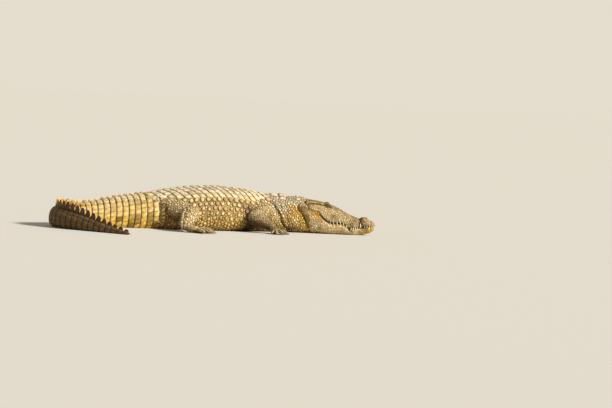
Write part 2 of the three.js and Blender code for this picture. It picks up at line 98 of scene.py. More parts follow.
HEAD_LENGTH = 668
JAW_LENGTH = 807
CHIN = 12
LIP_WIDTH = [
    [0, 16], [5, 40], [18, 64], [40, 82], [72, 92], [104, 88], [138, 77], [165, 96], [200, 112],
    [240, 107], [300, 110], [380, 126], [460, 150], [540, 172], [620, 190], [HEAD_LENGTH, 196],
]
HEAD_TOP = [
    [0, 98], [5, 114], [22, 130], [60, 146], [98, 168], [122, 170], [145, 158], [190, 168],
    [240, 186], [300, 213], [360, 246], [420, 270], [470, 286], [520, 300], [600, 312],
    [HEAD_LENGTH, 317],
]
TOP_FLAT = [
    [0, 4], [100, 26], [140, 12], [300, 22], [420, 30], [470, 44], [520, 74], [600, 86],
    [HEAD_LENGTH, 96],
]
HEAD_SQUARENESS = [[0, 2.2], [420, 2.2], [520, 1.75], [HEAD_LENGTH, 1.6]]
MOUTH_LINE = [
    [0, 86], [40, 90], [90, 87], [126, 85], [148, 86], [176, 70], [205, 62], [240, 58],
    [259, 66], [282, 86], [309, 104], [338, 109], [400, 105], [428, 108], [453, 117],
    [482, 135], [512, 164], [528, 192], [545, 210], [600, 226], [HEAD_LENGTH, 242],
    [JAW_LENGTH, 266],
]
JAW_WIDTH = [
    [CHIN, 14], [16, 34], [32, 54], [66, 74], [110, 76], [150, 74], [200, 98], [250, 110],
    [300, 121], [380, 139], [460, 158], [560, 178], [640, 193], [700, 199], [728, 192],
    [748, 162], [765, 122], [JAW_LENGTH, 96],
]
JAW_BOTTOM = [
    [CHIN, 54], [26, 34], [60, 18], [110, 6], [150, -SINK], [606, -SINK], [657, 66], [701, 134],
    [739, 180], [JAW_LENGTH, 242],
]
NOTCH = {"u": 141, "out": 6, "radius": 21, "z": 94, "tall": 1.9}
EYE = {"u": 469, "offset": 77, "z": 266, "radius": 23}
NOSTRIL_MOUND = {"u": 110, "z": 150, "length": 38, "width": 36, "height": 22}
CHEEK = {"u": 694, "z": 236, "length": 56, "height": 74}
CHEEK_REACH = CHEEK["length"] + 4  # half length of the muscle with the skin that runs onto it
CHEEK_SHOWS = 46  # half height of the muscle where it shows
# Teeth: distance, length, and how far in from just outside the other lip.
UPPER_TEETH = [
    [34, 22, 0], [54, 24, 0], [78, 20, 0], [100, 15, 0], [170, 15, 0], [188, 20, 0],
    [209, 26, 0], [230, 18, 0],
]
LOWER_TEETH = [
    [141, 30, 14], [276, 15, 0], [304, 17, 0], [334, 17, 0], [366, 15, 0], [398, 13, 0],
    [430, 10, 0],
]
TOOTH = {"slimness": 0.27, "root": 10, "clearance": 1}

# ---- Sizes of the part: limbs --------------------------------------------------------------

FRONT_LIMB = {
    "at": SHOULDER - 20,
    "top": [-20, 140, 190], "bend": [-165, 335, 140], "end": [5, 372, 66], "palm": [34, 404, 32],
    "upper": [[0, 84], [0.5, 86], [1, 66]], "lower": [[0, 68], [0.35, 66], [1, 40]],
    "palm_size": [50, 50, 29], "foot_turn": 52, "webbed": False,
}
HIND_LIMB = {
    "at": HIP,
    "top": [-14, 104, 200], "bend": [196, 362, 160], "end": [84, 512, 62], "palm": [150, 540, 34],
    "upper": [[0, 118], [0.45, 108], [1, 76]], "lower": [[0, 80], [0.4, 76], [1, 48]],
    "palm_size": [68, 57, 32], "foot_turn": 26, "webbed": True,
}
# Toes, inner first: [turn outwards in degrees, length, radius at the root, has a claw].
FINGERS = [[-34, 62, 18, 1], [-10, 78, 19, 1], [14, 84, 18, 1], [40, 76, 16, 0], [66, 58, 14, 0]]
HIND_TOES = [[-24, 112, 21, 1], [-4, 138, 22, 1], [17, 140, 21, 1], [40, 110, 17, 0]]
HEEL_SHARE = 0.7
CLAW = {"length": 30, "point": 0.14, "droop": 0.72, "seat": 8}
WEB = {"thickness": 9, "lift": 3, "back": 46, "dip": 0.12}
GAP = 0.3

# ---- Small mathematics ---------------------------------------------------------------------


def read(table, x, column=1):
    """A smooth curve through the rows of a table, which never overshoots between two rows."""
    rows = np.array(table, float)
    where, much = rows[:, 0], rows[:, column]
    slope = np.diff(much) / np.diff(where)
    before, after = slope[:-1], slope[1:]
    same_way = before * after > 0
    total = np.where(same_way, before + after, 1)
    inner = np.where(same_way, 2 * before * after / total, 0)
    tangent = np.concatenate([slope[:1], inner, slope[-1:]])
    x = np.clip(np.asarray(x, float), where[0], where[-1])
    i = np.clip(np.searchsorted(where, x) - 1, 0, len(slope) - 1)
    span = where[i + 1] - where[i]
    t = (x - where[i]) / span
    ease = t * t * (3 - 2 * t)
    leave = tangent[i] * t * (1 - t) ** 2
    arrive = tangent[i + 1] * t * t * (1 - t)
    return much[i] + (much[i + 1] - much[i]) * ease + span * (leave - arrive)


def rounded(value, squareness):
    return np.sign(value) * np.abs(value) ** (2 / squareness)


def smooth_step(low, high, x):
    t = np.clip((x - low) / (high - low), 0, 1)
    return t * t * (3 - 2 * t)


def hump(x, middle, width):
    """1 at the middle, falling smoothly to 0 at a width to either side."""
    return 1 - smooth_step(0, width, np.abs(x - middle))


def window(x, start, full, fading, end):
    """1 from full to fading, easing to 0 at the start and the end."""
    return smooth_step(start, full, x) * (1 - smooth_step(fading, end, x))


def unit(vectors):
    length = np.linalg.norm(vectors, axis=-1, keepdims=True)
    return vectors / np.maximum(length, 1e-9)


def lasting_random(count, seed):
    return np.random.default_rng(seed).random(count)


def tree_of(points):
    """A tree to find the nearest of these points with, by their places in the list."""
    tree = kdtree.KDTree(len(points))
    for k, point in enumerate(points):
        tree.insert(point, k)
    tree.balance()
    return tree


# ---- The spine -----------------------------------------------------------------------------


def spine_path():
    """Points on the floor under the spine, with the middle of the belly at the origin."""
    turn = np.radians(read(HEADING, np.arange(0, TAIL_TIP, PATH_STEP) + PATH_STEP / 2))
    steps = -PATH_STEP * np.stack([np.cos(turn), np.sin(turn)], -1)
    points = np.concatenate([np.zeros((1, 2)), np.cumsum(steps, 0)])
    return points - points[BELLY // PATH_STEP]


PATH = spine_path()


def spine_at(s):
    """The place on the floor, the forward and the left direction at distances along the spine."""
    s = np.asarray(s, float)
    turn = np.radians(read(HEADING, s))
    k = np.clip(np.floor(s / PATH_STEP).astype(int), 0, len(PATH) - 2)
    share = (s / PATH_STEP - k)[..., None]
    place = PATH[k] * (1 - share) + PATH[k + 1] * share
    flat = np.zeros_like(s)
    forward = np.stack([np.cos(turn), np.sin(turn), flat], -1)
    left = np.stack([-np.sin(turn), np.cos(turn), flat], -1)
    return np.concatenate([place, flat[..., None]], -1), forward, left


def off_spine(s, offset, height):
    """A point from its offset to the left and its height, leaning with the body there."""
    place, _, left = spine_at(s)
    lean = np.radians(read(LEAN, s))
    sideways = offset * np.cos(lean) - height * np.sin(lean)
    point = place + left * np.asarray(sideways)[..., None]
    point[..., 2] = height * np.cos(lean) + offset * np.sin(lean)
    return point


def on_head(u, offset, z):
    """A point of the head; u runs back from the tip of the snout."""
    start = spine_at(0)[0]
    u, offset, z = np.broadcast_arrays(np.asarray(u, float), offset, z)
    return start + np.stack([HEAD_LENGTH - u, offset, z], -1)


def head_distances(points):
    """How far back on the head, and how high, these points of a mesh lie."""
    place = points / MM - spine_at(0)[0]
    return HEAD_LENGTH - place[:, 0], place[:, 2]


# ---- Surfaces, as functions of a distance along and a turn round --------------------------

# A turn of 0 is the middle of the back, 1 is the middle of the belly on the left side, and -1
# is the same line reached on the right side.

# How far the skin lies inside the solids, which reach to the tops of the scales; it is deepest
# under the scutes of the back.
COAT = [[NECK_START, 6], [SHOULDER, 7], [2200, 8], [2450, 12], [2900, 11], [TAIL_TIP, 6]]
BACK_COAT = [[NECK_START, 0], [200, 2], [SHOULDER, 8], [HIP, 8], [1700, 2], [TAIL_TIP, 0]]
FLOOR_COAT = 3  # the same where the belly rests on the floor

# Folds of the neck and flank: distance near the back, slant towards the belly, depth, width.
FOLDS = [
    [110, -60, 4, 15], [236, -120, 8, 17], [300, -160, 12, 20], [362, -190, 24, 25],
    [398, -60, 8, 20], [500, 30, 9, 30], [1290, 60, 7, 30], [1372, 90, 12, 26], [1486, 40, 16, 30],
]


def fold_depth(s, turn):
    """How far the folds of loose skin draw the surface in, on the sides but not on the back."""
    side = np.abs(turn)
    depth = np.zeros_like(s)
    for k, (where, slant, deep, wide) in enumerate(FOLDS):
        wander = 9 * np.sin(side * 13 + k * 2.1) + 5 * np.sin(side * 29 + k)
        line = where + slant * (side - 0.25) * 2 + wander
        reach = window(side, 0.2, 0.34, 0.72, 0.84)
        depth += deep * hump(s, line, wide) * reach
    return depth


def body_surface(s, turn):
    angle = np.pi / 2 - turn * np.pi
    up = np.sin(angle)
    waist = read(BODY, s, 3)
    half_width = read(BODY, s, 1)
    coat = read(COAT, s) + read(BACK_COAT, s) * (1 - smooth_step(0.2, 0.45, np.abs(turn)))
    inset = np.minimum(coat, half_width * 0.3) + fold_depth(s, turn)
    squareness = np.where(up > 0, UPPER_SQUARENESS, LOWER_SQUARENESS)
    reach = np.where(up > 0, read(BODY, s, 2) - waist, waist + SINK) - inset
    offset = (half_width - inset) * rounded(np.cos(angle), squareness)
    point = off_spine(s, offset, waist + reach * rounded(up, squareness))
    point[..., 2] = np.maximum(point[..., 2], FLOOR_COAT)
    return point


def muscle_surface(start, end, radii, inset):
    """A rounded muscle from one joint to the next; its distance along runs past both joints."""
    axis = end - start
    length = np.linalg.norm(axis)
    axis = axis / length
    side = unit(np.cross(axis, [0, 0, 1]))
    up = np.cross(side, axis)
    first, last = radii[0][1] * 0.8, radii[-1][1] * 0.8

    def surface(x, turn):
        x = np.asarray(x, float)
        before = np.where(x < 0, -x / first, 0)
        past = np.maximum(before, np.where(x > length, (x - length) / last, 0))
        full = read(radii, np.clip(x / length, 0, 1)) - inset
        r = (full * np.sqrt(np.maximum(1 - past ** 2, 0.03)))[..., None]
        angle = (np.pi / 2 - turn * np.pi)[..., None]
        point = start + axis * x[..., None] + side * np.cos(angle) * r + up * np.sin(angle) * r
        point[..., 2] = np.maximum(point[..., 2], FLOOR_COAT)
        return point

    return surface, -first, length + last


class Sheet:
    """A surface read by two lengths: along it, and round it from its middle line."""

    AROUND = 96

    def __init__(self, surface, start, end, step=10):
        self.start, self.end = start, end
        count = max(int((end - start) / step), 8) + 1
        self.along = np.linspace(start, end, count)
        turn = np.linspace(-1, 1, 2 * self.AROUND + 1)
        s, v = np.meshgrid(self.along, turn, indexing="ij")
        fine = surface(s.ravel(), v.ravel()).reshape(*s.shape, 3)
        arc = np.cumsum(np.linalg.norm(np.diff(fine, axis=1), axis=-1), axis=1)
        arc = np.concatenate([np.zeros((count, 1)), arc], 1)
        arc -= arc[:, self.AROUND][:, None]
        self.girth = np.stack([-arc[:, 0], arc[:, -1]], -1)
        share = np.where(arc < 0, arc / self.girth[:, :1], arc / self.girth[:, 1:])
        self.grid = np.empty_like(fine)
        for i in range(count):
            for axis in range(3):
                self.grid[i, :, axis] = np.interp(turn, share[i], fine[i, :, axis])

    def half_girth(self, s):
        """Length round one side, from the middle line to the line opposite it."""
        return np.interp(s, self.along, self.girth.mean(1))

    def at(self, s, around):
        """Points at distances along and signed lengths round from the middle line."""
        s = np.clip(s, self.start, self.end)
        right = np.interp(s, self.along, self.girth[:, 0])
        left = np.interp(s, self.along, self.girth[:, 1])
        share = np.clip(around / np.where(around < 0, right, left), -1, 1)
        row = (s - self.start) / (self.end - self.start) * (len(self.along) - 1)
        column = (share + 1) * self.AROUND
        i = np.clip(row.astype(int), 0, len(self.along) - 2)
        j = np.clip(column.astype(int), 0, 2 * self.AROUND - 1)
        a, b = (row - i)[..., None], (column - j)[..., None]
        near = self.grid[i, j] * (1 - b) + self.grid[i, j + 1] * b
        far = self.grid[i + 1, j] * (1 - b) + self.grid[i + 1, j + 1] * b
        return near * (1 - a) + far * a


# ---- Head and jaw surfaces -----------------------------------------------------------------

HEAD_COAT = 3  # the skin is tight on the skull
CORNER = 528  # distance of the corner of the mouth, behind which the two jaws share their skin
SCALLOP = 29  # length of one swelling of the lip
LIP_LIFT = 5  # how far each lip draws back from the line of the mouth
PLEAT = 15  # width of one upright pleat of the jaw
UNDER = 1.25  # how far a turn of the head's shells runs on, to close them inside the mouth
OUTSIDE = 0.97  # turns up to here are skin that shows, and not the underside of a lip
# Height of the slit of the ear.
EAR_LINE = [[490, 266], [520, 275], [570, 283], [620, 284], [HEAD_LENGTH, 274]]

# Bosses of bone under the skin of the head: distance, offset, length, width, height.
BOSSES = [
    [338, 34, 64, 15, 5], [400, 52, 52, 17, 6], [214, 50, 34, 26, 4], [286, 58, 46, 20, 3],
]
# Swellings of the side of the head: distance, height, half length, half height, how far out.
# It sinks a little below the eye, and swells above the mouth and behind the notch of the lip.
SWELLINGS = [[470, 232, 90, 34, -7], [400, 150, 80, 46, 6], [205, 96, 42, 34, 5]]


def lip_scallop(u):
    """The small swellings of the lips over each tooth."""
    wave = np.cos(u * 2 * np.pi / SCALLOP)
    return wave * smooth_step(20, 60, u) * (1 - smooth_step(440, 520, u))


def shut(u):
    """0 along the open slit of the mouth, and 1 where skin joins the jaws behind its corner."""
    return smooth_step(CORNER - 14, CORNER + 14, u)


def head_surface(u, turn):
    """The upper jaw and skull, from lip to lip over the top."""
    half_width = read(LIP_WIDTH, u) - HEAD_COAT
    lip = read(MOUTH_LINE, u) + LIP_LIFT - 2.5 * lip_scallop(u) - (12 + LIP_LIFT) * shut(u)
    top = read(HEAD_TOP, u) - HEAD_COAT
    flat = np.minimum(read(TOP_FLAT, u), half_width / 2)
    squareness = read(HEAD_SQUARENESS, u)
    angle = np.pi / 2 - turn * np.pi / 2
    side = rounded(np.cos(angle), squareness)
    offset = np.clip(side * 4, -1, 1) * flat + side * (half_width - flat)
    rise = rounded(np.maximum(np.sin(angle), 0), squareness)
    # The lip swells over the jaw below and turns under instead of ending in an edge.
    down = np.abs(turn)
    swell = (4 + 1.5 * lip_scallop(u)) * hump(down, 0.88, 0.14)
    swell = swell - 7 * smooth_step(0.94, 1.0, down)
    swell = swell * (1 - shut(u)) - 14 * shut(u) * smooth_step(0.82, 1.0, down)
    z = lip + (top - lip) * rise
    # Behind the cheek the side of the skull sinks under the muscle of the jaw.
    swell = swell - 46 * smooth_step(622, HEAD_LENGTH, u) ** 1.5 * smooth_step(288, 258, z)
    offset = offset + np.sign(offset) * swell
    return on_head(u, offset, z)


def cheek_lobe(u):
    """1 at the middle of the muscle that bulges behind the skull, 0 clear of it."""
    return hump(u, CHEEK["u"], CHEEK_REACH)


def jaw_surface(u, turn):
    """The lower jaw, from lip to lip under the chin, with a muscle swelling up at its rear."""
    half_width = read(JAW_WIDTH, u) - HEAD_COAT
    lip = read(MOUTH_LINE, u) - (LIP_LIFT - 1.5 * lip_scallop(u + SCALLOP / 2)) * (1 - shut(u))
    lip = lip + 10 * shut(u)
    raised = CHEEK["z"] + CHEEK["height"] - HEAD_COAT - 3
    lip = lip + (raised - lip) * cheek_lobe(u)
    bottom = read(JAW_BOTTOM, u) + HEAD_COAT
    angle = np.pi / 2 - turn * np.pi / 2
    offset = half_width * rounded(np.cos(angle), LOWER_SQUARENESS)
    z = lip - (lip - bottom) * rounded(np.maximum(np.sin(angle), 0), LOWER_SQUARENESS)
    tuck = smooth_step(0.86, 1.0, np.abs(turn)) * (1 - cheek_lobe(u)) * (1 + 0.5 * shut(u))
    offset = offset - np.sign(offset) * tuck * 9
    offset = offset * (1 - 0.28 * cheek_lobe(u) * np.clip((np.abs(turn) - 0.72) / 0.28, 0, 1) ** 2)
    point = on_head(u, offset, z)
    point[..., 2] = np.maximum(point[..., 2], FLOOR_COAT)
    return point


# ---- Meshes --------------------------------------------------------------------------------


def smooth_mesh(name, bm):
    mesh = bpy.data.meshes.new(name)
    bm.to_mesh(mesh)
    bm.free()
    mesh.shade_smooth()
    return mesh


def add_object(name, data):
    made = bpy.data.objects.new(name, data)
    bpy.context.scene.collection.objects.link(made)
    return made


def new_object(name, bm):
    return add_object(name, smooth_mesh(name, bm))


def vectors(mesh, name):
    """One vector for each vertex: its place ("co") or the skin's upright there ("normal")."""
    flat = np.empty(len(mesh.vertices) * 3)
    mesh.vertices.foreach_get(name, flat)
    return flat.reshape(-1, 3)


def corners(mesh):
    return vectors(mesh, "co")


def slopes(mesh):
    return vectors(mesh, "normal")


def set_corners(mesh, points):
    mesh.vertices.foreach_set("co", np.asarray(points, float).ravel())
    mesh.update()


def apply_modifiers(piece):
    """Puts what the modifiers make into the piece's own mesh."""
    depsgraph = bpy.context.evaluated_depsgraph_get()
    made = bpy.data.meshes.new_from_object(piece.evaluated_get(depsgraph), depsgraph=depsgraph)
    old = piece.data
    piece.modifiers.clear()
    piece.data = made
    bpy.data.meshes.remove(old)
    return piece


def bend(bm, surface):
    """Moves every vertex to the surface's point for its own x and y."""
    bm.verts.ensure_lookup_table()
    flat = np.array([vert.co for vert in bm.verts])
    points = surface(flat[:, 0], flat[:, 1]) * MM
    for vert, point in zip(bm.verts, points):
        vert.co = point
    return bm


def close_up(bm):
    """Merges the seam of a rolled grid, fills its two ends and turns its faces outwards."""
    bmesh.ops.remove_doubles(bm, verts=bm.verts, dist=0.02 * MM)
    open_edges = [edge for edge in bm.edges if edge.is_boundary]
    bmesh.ops.holes_fill(bm, edges=open_edges, sides=0)
    bmesh.ops.recalc_face_normals(bm, faces=bm.faces)
    return bm


def rolled(surface, start, end, along, around, crowding=1):
    """A closed tube made from a grid rolled up along a surface.

    crowding is 1 for even steps, and more to draw them together towards the start.
    """
    bm = bmesh.new()
    bmesh.ops.create_grid(bm, x_segments=along, y_segments=around, size=1)
    bend(bm, lambda x, y: surface(start + (end - start) * ((x + 1) / 2) ** crowding, y))
    return close_up(bm)


def merged(meshes):
    """One bmesh that holds all of these."""
    whole = bmesh.new()
    for bm in meshes:
        part = bpy.data.meshes.new("part")
        bm.to_mesh(part)
        bm.free()
        whole.from_mesh(part)
        bpy.data.meshes.remove(part)
    return whole


# ---- Limbs ---------------------------------------------------------------------------------

LIMB_COAT = 4
TOE_COAT = 1


def limb_place(limb, side, offsets):
    """A place on a limb: forwards, outwards and up from the spine, left (1) or right (-1)."""
    place, forward, left = spine_at(limb["at"])
    along, out, up = offsets
    point = place + forward * along + left * side * out
    point[2] = up
    return point


def toe_line(limb, side, row):
    """A toe's root, the way it points, the way across it, its reach and the root's radius."""
    turn, length, root_radius, _ = row
    _, forward, left = spine_at(limb["at"])
    angle = math.radians(limb["foot_turn"] + turn)
    way = forward * math.cos(angle) + left * side * math.sin(angle)
    across = np.cross([0, 0, 1], way)
    root = limb_place(limb, side, limb["palm"]) + way * limb["palm_size"][0] * 0.35
    return root, way, across, limb["palm_size"][0] * 0.6 + length, root_radius


def toe_surface(limb, side, row):
    root, way, across, reach, radius = toe_line(limb, side, row)
    middle = [[0, root[2] * 0.9], [0.55, radius * 1.5], [1, radius * 0.72]]
    thickness = [[0, radius * 1.1], [0.8, radius * 0.95], [1, radius * 0.62]]

    def surface(x, turn):
        t = np.clip(x / reach, 0, 1)
        knuckles = 1 + 0.07 * np.cos(t * 2 * np.pi * 3)
        tip = np.sqrt(np.clip((1.02 - t) / 0.08, 0.25, 1))
        r = (read(thickness, t) - TOE_COAT) * knuckles * tip
        angle = np.pi / 2 - turn * np.pi
        point = root + way * np.asarray(x)[..., None] + across * (np.cos(angle) * r)[..., None]
        point[..., 2] = np.maximum(read(middle, t) + np.sin(angle) * r, FLOOR_COAT)
        return point

    return surface, 0, reach


def ball(centre, radii):
    bm = bmesh.new()
    bmesh.ops.create_uvsphere(bm, u_segments=28, v_segments=16, radius=MM)
    bmesh.ops.scale(bm, verts=bm.verts, vec=Vector(radii))
    bmesh.ops.translate(bm, verts=bm.verts, vec=Vector(centre * MM))
    for vert in bm.verts:
        vert.co.z = max(vert.co.z, FLOOR_COAT * MM)
    return bm


def web(limb, side, toes):
    """A thin web that runs from toe to toe, dipping between them."""
    root = limb_place(limb, side, limb["palm"])
    lines = [toe_line(limb, side, row) for row in toes]
    ends = [start + way * (reach + GAP - WEB["back"]) for start, way, _, reach, _ in lines]
    outline = [root]
    for k, end in enumerate(ends):
        if k:
            middle = (end + ends[k - 1]) / 2
            outline.append(middle + (root - middle) * WEB["dip"])
        outline.append(end)
    bm = bmesh.new()
    base = WEB["lift"] * MM
    floor_points = [bm.verts.new((x * MM, y * MM, base)) for x, y, _ in outline]
    face = bm.faces.new(floor_points)
    top = bmesh.ops.extrude_face_region(bm, geom=[face])["geom"]
    raised = [item for item in top if isinstance(item, bmesh.types.BMVert)]
    bmesh.ops.translate(bm, verts=raised, vec=(0, 0, WEB["thickness"] * MM))
    bmesh.ops.recalc_face_normals(bm, faces=bm.faces)
    return bm


LIMBS = [
    [FRONT_LIMB, FINGERS, "upper_arm", "forearm", "hand"],
    [HIND_LIMB, HIND_TOES, "thigh", "shank", "foot"],
]
SIDES = [["right", -1], ["left", 1]]


def limb_surfaces(limb, side, toes):
    """The muscles and toes of one limb, each as surface, start and end."""
    joints = (limb[name] for name in ("top", "bend", "end", "palm"))
    top, elbow, end, palm = (limb_place(limb, side, joint) for joint in joints)
    heel = [[0, limb["lower"][-1][1] * HEEL_SHARE], [1, limb["palm_size"][2]]]
    return {
        "upper": muscle_surface(top, elbow, limb["upper"], LIMB_COAT),
        "lower": muscle_surface(elbow, end, limb["lower"], LIMB_COAT),
        "heel": muscle_surface(end, palm, heel, 2),
        "toes": [toe_surface(limb, side, row) for row in toes],
    }


# ---- The skin ------------------------------------------------------------------------------

SKIN_GRAIN = 7  # size of the skin's mesh, before it is thinned
SKIN_TRIANGLES = 110000  # of the body and limbs; the head has its own, finer mesh


def body_and_limbs():
    """Body and limbs melted into one surface, so that no limb shows a seam."""
    parts = [rolled(body_surface, NECK_START, TAIL_TIP, 300, 110)]
    for limb, toes, *_ in LIMBS:
        for _, side in SIDES:
            surfaces = limb_surfaces(limb, side, toes)
            for name in ("upper", "lower", "heel"):
                parts.append(rolled(*surfaces[name], 30, 36))
            parts.append(ball(limb_place(limb, side, limb["palm"]), limb["palm_size"]))
            for toe in surfaces["toes"]:
                parts.append(rolled(*toe, 24, 18))
            if limb["webbed"]:
                parts.append(web(limb, side, toes))
    piece = new_object("skin", merged(parts))
    melt = piece.modifiers.new("Melt", "REMESH")
    melt.mode = "VOXEL"
    melt.voxel_size = SKIN_GRAIN * MM
    ease = piece.modifiers.new("Ease", "SMOOTH")
    ease.factor = 0.5
    ease.iterations = 3
    apply_modifiers(piece)
    thin = piece.modifiers.new("Thin", "DECIMATE")
    thin.ratio = min(1, SKIN_TRIANGLES / (2 * len(piece.data.polygons)))
    return apply_modifiers(piece)


def smooth_max(a, b, blend):
    share = np.clip(0.5 + 0.5 * (b - a) / blend, 0, 1)
    return a * (1 - share) + b * share + blend * share * (1 - share)


def cut_notch(u, offset, z):
    """Draws the lip in round the long fourth tooth of the lower jaw."""
    middle = read(LIP_WIDTH, NOTCH["u"]) + NOTCH["out"]
    away = ((u - NOTCH["u"]) / NOTCH["radius"]) ** 2
    away += ((z - NOTCH["z"]) / (NOTCH["radius"] * NOTCH["tall"])) ** 2
    limit = middle - NOTCH["radius"] * np.sqrt(np.clip(1 - away, 0, 1))
    return np.where(away < 1, np.sign(offset) * np.minimum(np.abs(offset), limit), offset)


def nostril_mound(u, offset, z):
    """Raises the skin over the nostrils, with a crescent opening in each half."""
    mound = NOSTRIL_MOUND
    away = ((u - mound["u"]) / mound["length"]) ** 2 + (offset / mound["width"]) ** 2
    top = mound["z"] + mound["height"] * np.sqrt(np.clip(1 - away, 0, 1))
    raised = smooth_max(z, np.where(away < 1, top, 0), 7)
    opening = ((u - 100) / 13) ** 2 + ((np.abs(offset) - 15) / 6) ** 2
    return raised - 9 * (1 - smooth_step(0.4, 1.2, opening))


def draw_in(u, line, wide, deep):
    """How far a groove draws the side of the head in at each distance from its line."""
    return deep * hump(u, line, wide)


def shape_head(u, turn):
    """The head's surface with everything that stands up from it or is sunk in it."""
    point = head_surface(u, np.clip(turn, -1, 1))
    start = on_head(HEAD_LENGTH, 0, 0)
    offset, z = point[..., 1] - start[1], point[..., 2].copy()
    under = np.clip((np.abs(turn) - 1) / (UNDER - 1), 0, 1)
    offset = offset * (1 - under)
    on_top = np.abs(turn) < 0.9
    z = np.where(on_top, nostril_mound(u, offset, z), z)
    # The bony ridges of the snout and in front of the eyes.
    for where, out, length, width, height in BOSSES:
        boss = hump(u, where, length) * hump(np.abs(offset), out, width)
        z = z + height * boss * on_top
    outwards = np.sign(offset) * (np.abs(turn) < OUTSIDE)
    # The ear's flap is a lens between two grooves under the edge of the skull table.
    ear = window(u, 496, 520, 640, 656)
    line = read(EAR_LINE, u)
    ear = ear * (0.5 + 0.5 * hump(u, 560, 110))
    offset = offset - outwards * ear * 13 * hump(z, line, 8)
    offset = offset + outwards * ear * 7 * hump(z, line + 12, 13)
    # Creases stand behind the upper teeth and up from the notch of the lip, and a dip lies
    # across the snout.
    high = (z - read(MOUTH_LINE, u)) / (read(HEAD_TOP, u) - read(MOUTH_LINE, u))
    offset = offset - outwards * draw_in(u, 262 - 26 * high, 9, 5) * smooth_step(0.95, 0.7, high)
    offset = offset - outwards * draw_in(u, 150 + 8 * high, 20, 9) * smooth_step(0.2, 0.6, high)
    z = z - 9 * hump(u, 158, 26) * hump(np.abs(offset), 36, 34) * on_top
    for where, high, length, tall, out in SWELLINGS:
        offset = offset + outwards * out * hump(u, where, length) * hump(z, high, tall)
    offset = cut_notch(u, offset, z)
    return on_head(u, offset, z)


def shape_jaw(u, turn):
    point = jaw_surface(u, np.clip(turn, -1, 1))
    middle = on_head(HEAD_LENGTH, 0, 0)[1]
    under = np.clip((np.abs(turn) - 1) / (UNDER - 1), 0, 1)
    offset, z = point[..., 1] - middle, point[..., 2]
    outwards = np.sign(offset) * (np.abs(turn) < OUTSIDE)
    # A fold under the corner of the mouth, and fine upright pleats along the jaw.
    fold = read(MOUTH_LINE, u) - 34
    behind = window(u, 520, 545, 610, 640)
    offset = offset - outwards * 8 * behind * hump(z, fold, 11)
    pleated = window(u, 250, 300, 500, 540)
    depth = smooth_step(0, 30, read(MOUTH_LINE, u) - z)
    offset = offset - outwards * 1.3 * pleated * depth * np.cos(u * 2 * np.pi / PLEAT)
    point[..., 1] = middle + offset * (1 - under)
    point[..., 2] = z - 80 * cheek_lobe(u) * np.sqrt(under)
    return point


def eye_place(side):
    return on_head(EYE["u"], side * EYE["offset"], EYE["z"])


EYE_TILT = math.radians(20)  # how far each eye looks up
LID_THICKNESS = 7
SLIT = {"length": 30, "up": 8, "down": 9}  # half length of the eye's opening, and its heights


def eye_frame(side):
    """The eye's middle, with the ways tailwards, up along the lids and out of the head."""
    out = np.array([0, side * math.cos(EYE_TILT), math.sin(EYE_TILT)])
    back = np.array([-1.0, 0, 0])
    up = np.array([0, -side * math.sin(EYE_TILT), math.cos(EYE_TILT)])
    return eye_place(side), back, up, out


def raise_lids(points):
    """Bulges the skin over each eyeball, as the lids do."""
    for _, side in SIDES:
        middle, back, up, out = eye_frame(side)
        apart = points - middle
        a, b, c = apart @ back, apart @ up, apart @ out
        ahead, beside = 0.62 * a, np.maximum(np.hypot(b, c), 1)
        distance = np.hypot(ahead, beside)
        lid = EYE["radius"] + LID_THICKNESS
        wanted = smooth_max(distance, lid, 8)
        grown = np.sqrt(np.maximum(wanted ** 2 - ahead ** 2, beside ** 2)) / beside
        grown = np.where((distance < lid + 8) & (points[:, 2] > middle[2] - 40), grown, 1)
        points = points + (up * b[:, None] + out * c[:, None]) * (grown - 1)[:, None]
    return points


def almond(side):
    """The shape of the eye's opening, standing through the lids from the eyeball outwards."""
    middle, back, up, out = eye_frame(side)
    bm = bmesh.new()
    bmesh.ops.create_cone(bm, cap_ends=True, segments=40, radius1=1, radius2=1, depth=2)
    for vert in bm.verts:
        x, y, z = vert.co
        height = SLIT["up"] if y > 0 else SLIT["down"]
        rise = (1 - x * x) * height * np.sign(y) * 0.9 + y * height * 0.1
        depth = EYE["radius"] * 0.35 if z < 0 else EYE["radius"] * 3
        sag = 4 * x * x
        vert.co = (middle + back * x * SLIT["length"] + up * (rise - sag) + out * depth) * MM
    bmesh.ops.recalc_face_normals(bm, faces=bm.faces)
    return bm


def head_and_jaw():
    """The head's two halves, each a closed shell, with the eyes' openings cut through."""
    upper = rolled(lambda u, turn: shape_head(u, turn * UNDER), 0, HEAD_LENGTH, 180, 140, 1.2)
    piece = new_object("head_skin", upper)
    set_corners(piece.data, raise_lids(corners(piece.data) / MM) * MM)
    cutter = new_object("openings", merged([almond(-1), almond(1)]))
    cut = piece.modifiers.new("Openings", "BOOLEAN")
    cut.operation = "DIFFERENCE"
    cut.solver = "EXACT"
    cut.object = cutter
    apply_modifiers(piece)
    bpy.data.objects.remove(cutter)
    lower = rolled(lambda u, turn: shape_jaw(u, turn * UNDER), CHIN, JAW_LENGTH, 200, 84, 1.1)
    return piece, new_object("jaw_skin", lower)


# ---- Markings and painted shade, the same on skin and scales -------------------------------

# The marks say how pale, how warm (towards yellow) and how dark each place of the hide is, from 0
# to 1; the dark mark holds painted shade as well as dark markings.
JAW_REAR = [[0.3, 0.42, 0.55, 0.7], [139, 71, 10, -20]]  # the jaw's rear edge: share, distance
# Painted shade and shadow behind each arm, under it and under each thigh: distance, half length,
# shares of the way round where each starts and is full, how dark.
LIMB_SHADE = [[605, 95, 0.34, 0.46, 1], [490, 130, 0.5, 0.6, 0.8], [1265, 120, 0.46, 0.58, 0.8]]
# Brown stains low on the rings of the tail: ring, upper edge and lower edge as shares of the
# way round.
BROWN_STAINS = [
    [0, 0.6, 0.68], [1, 0.46, 0.66], [3, 0.47, 0.58], [4, 0.52, 0.7], [6, 0.55, 0.62],
]


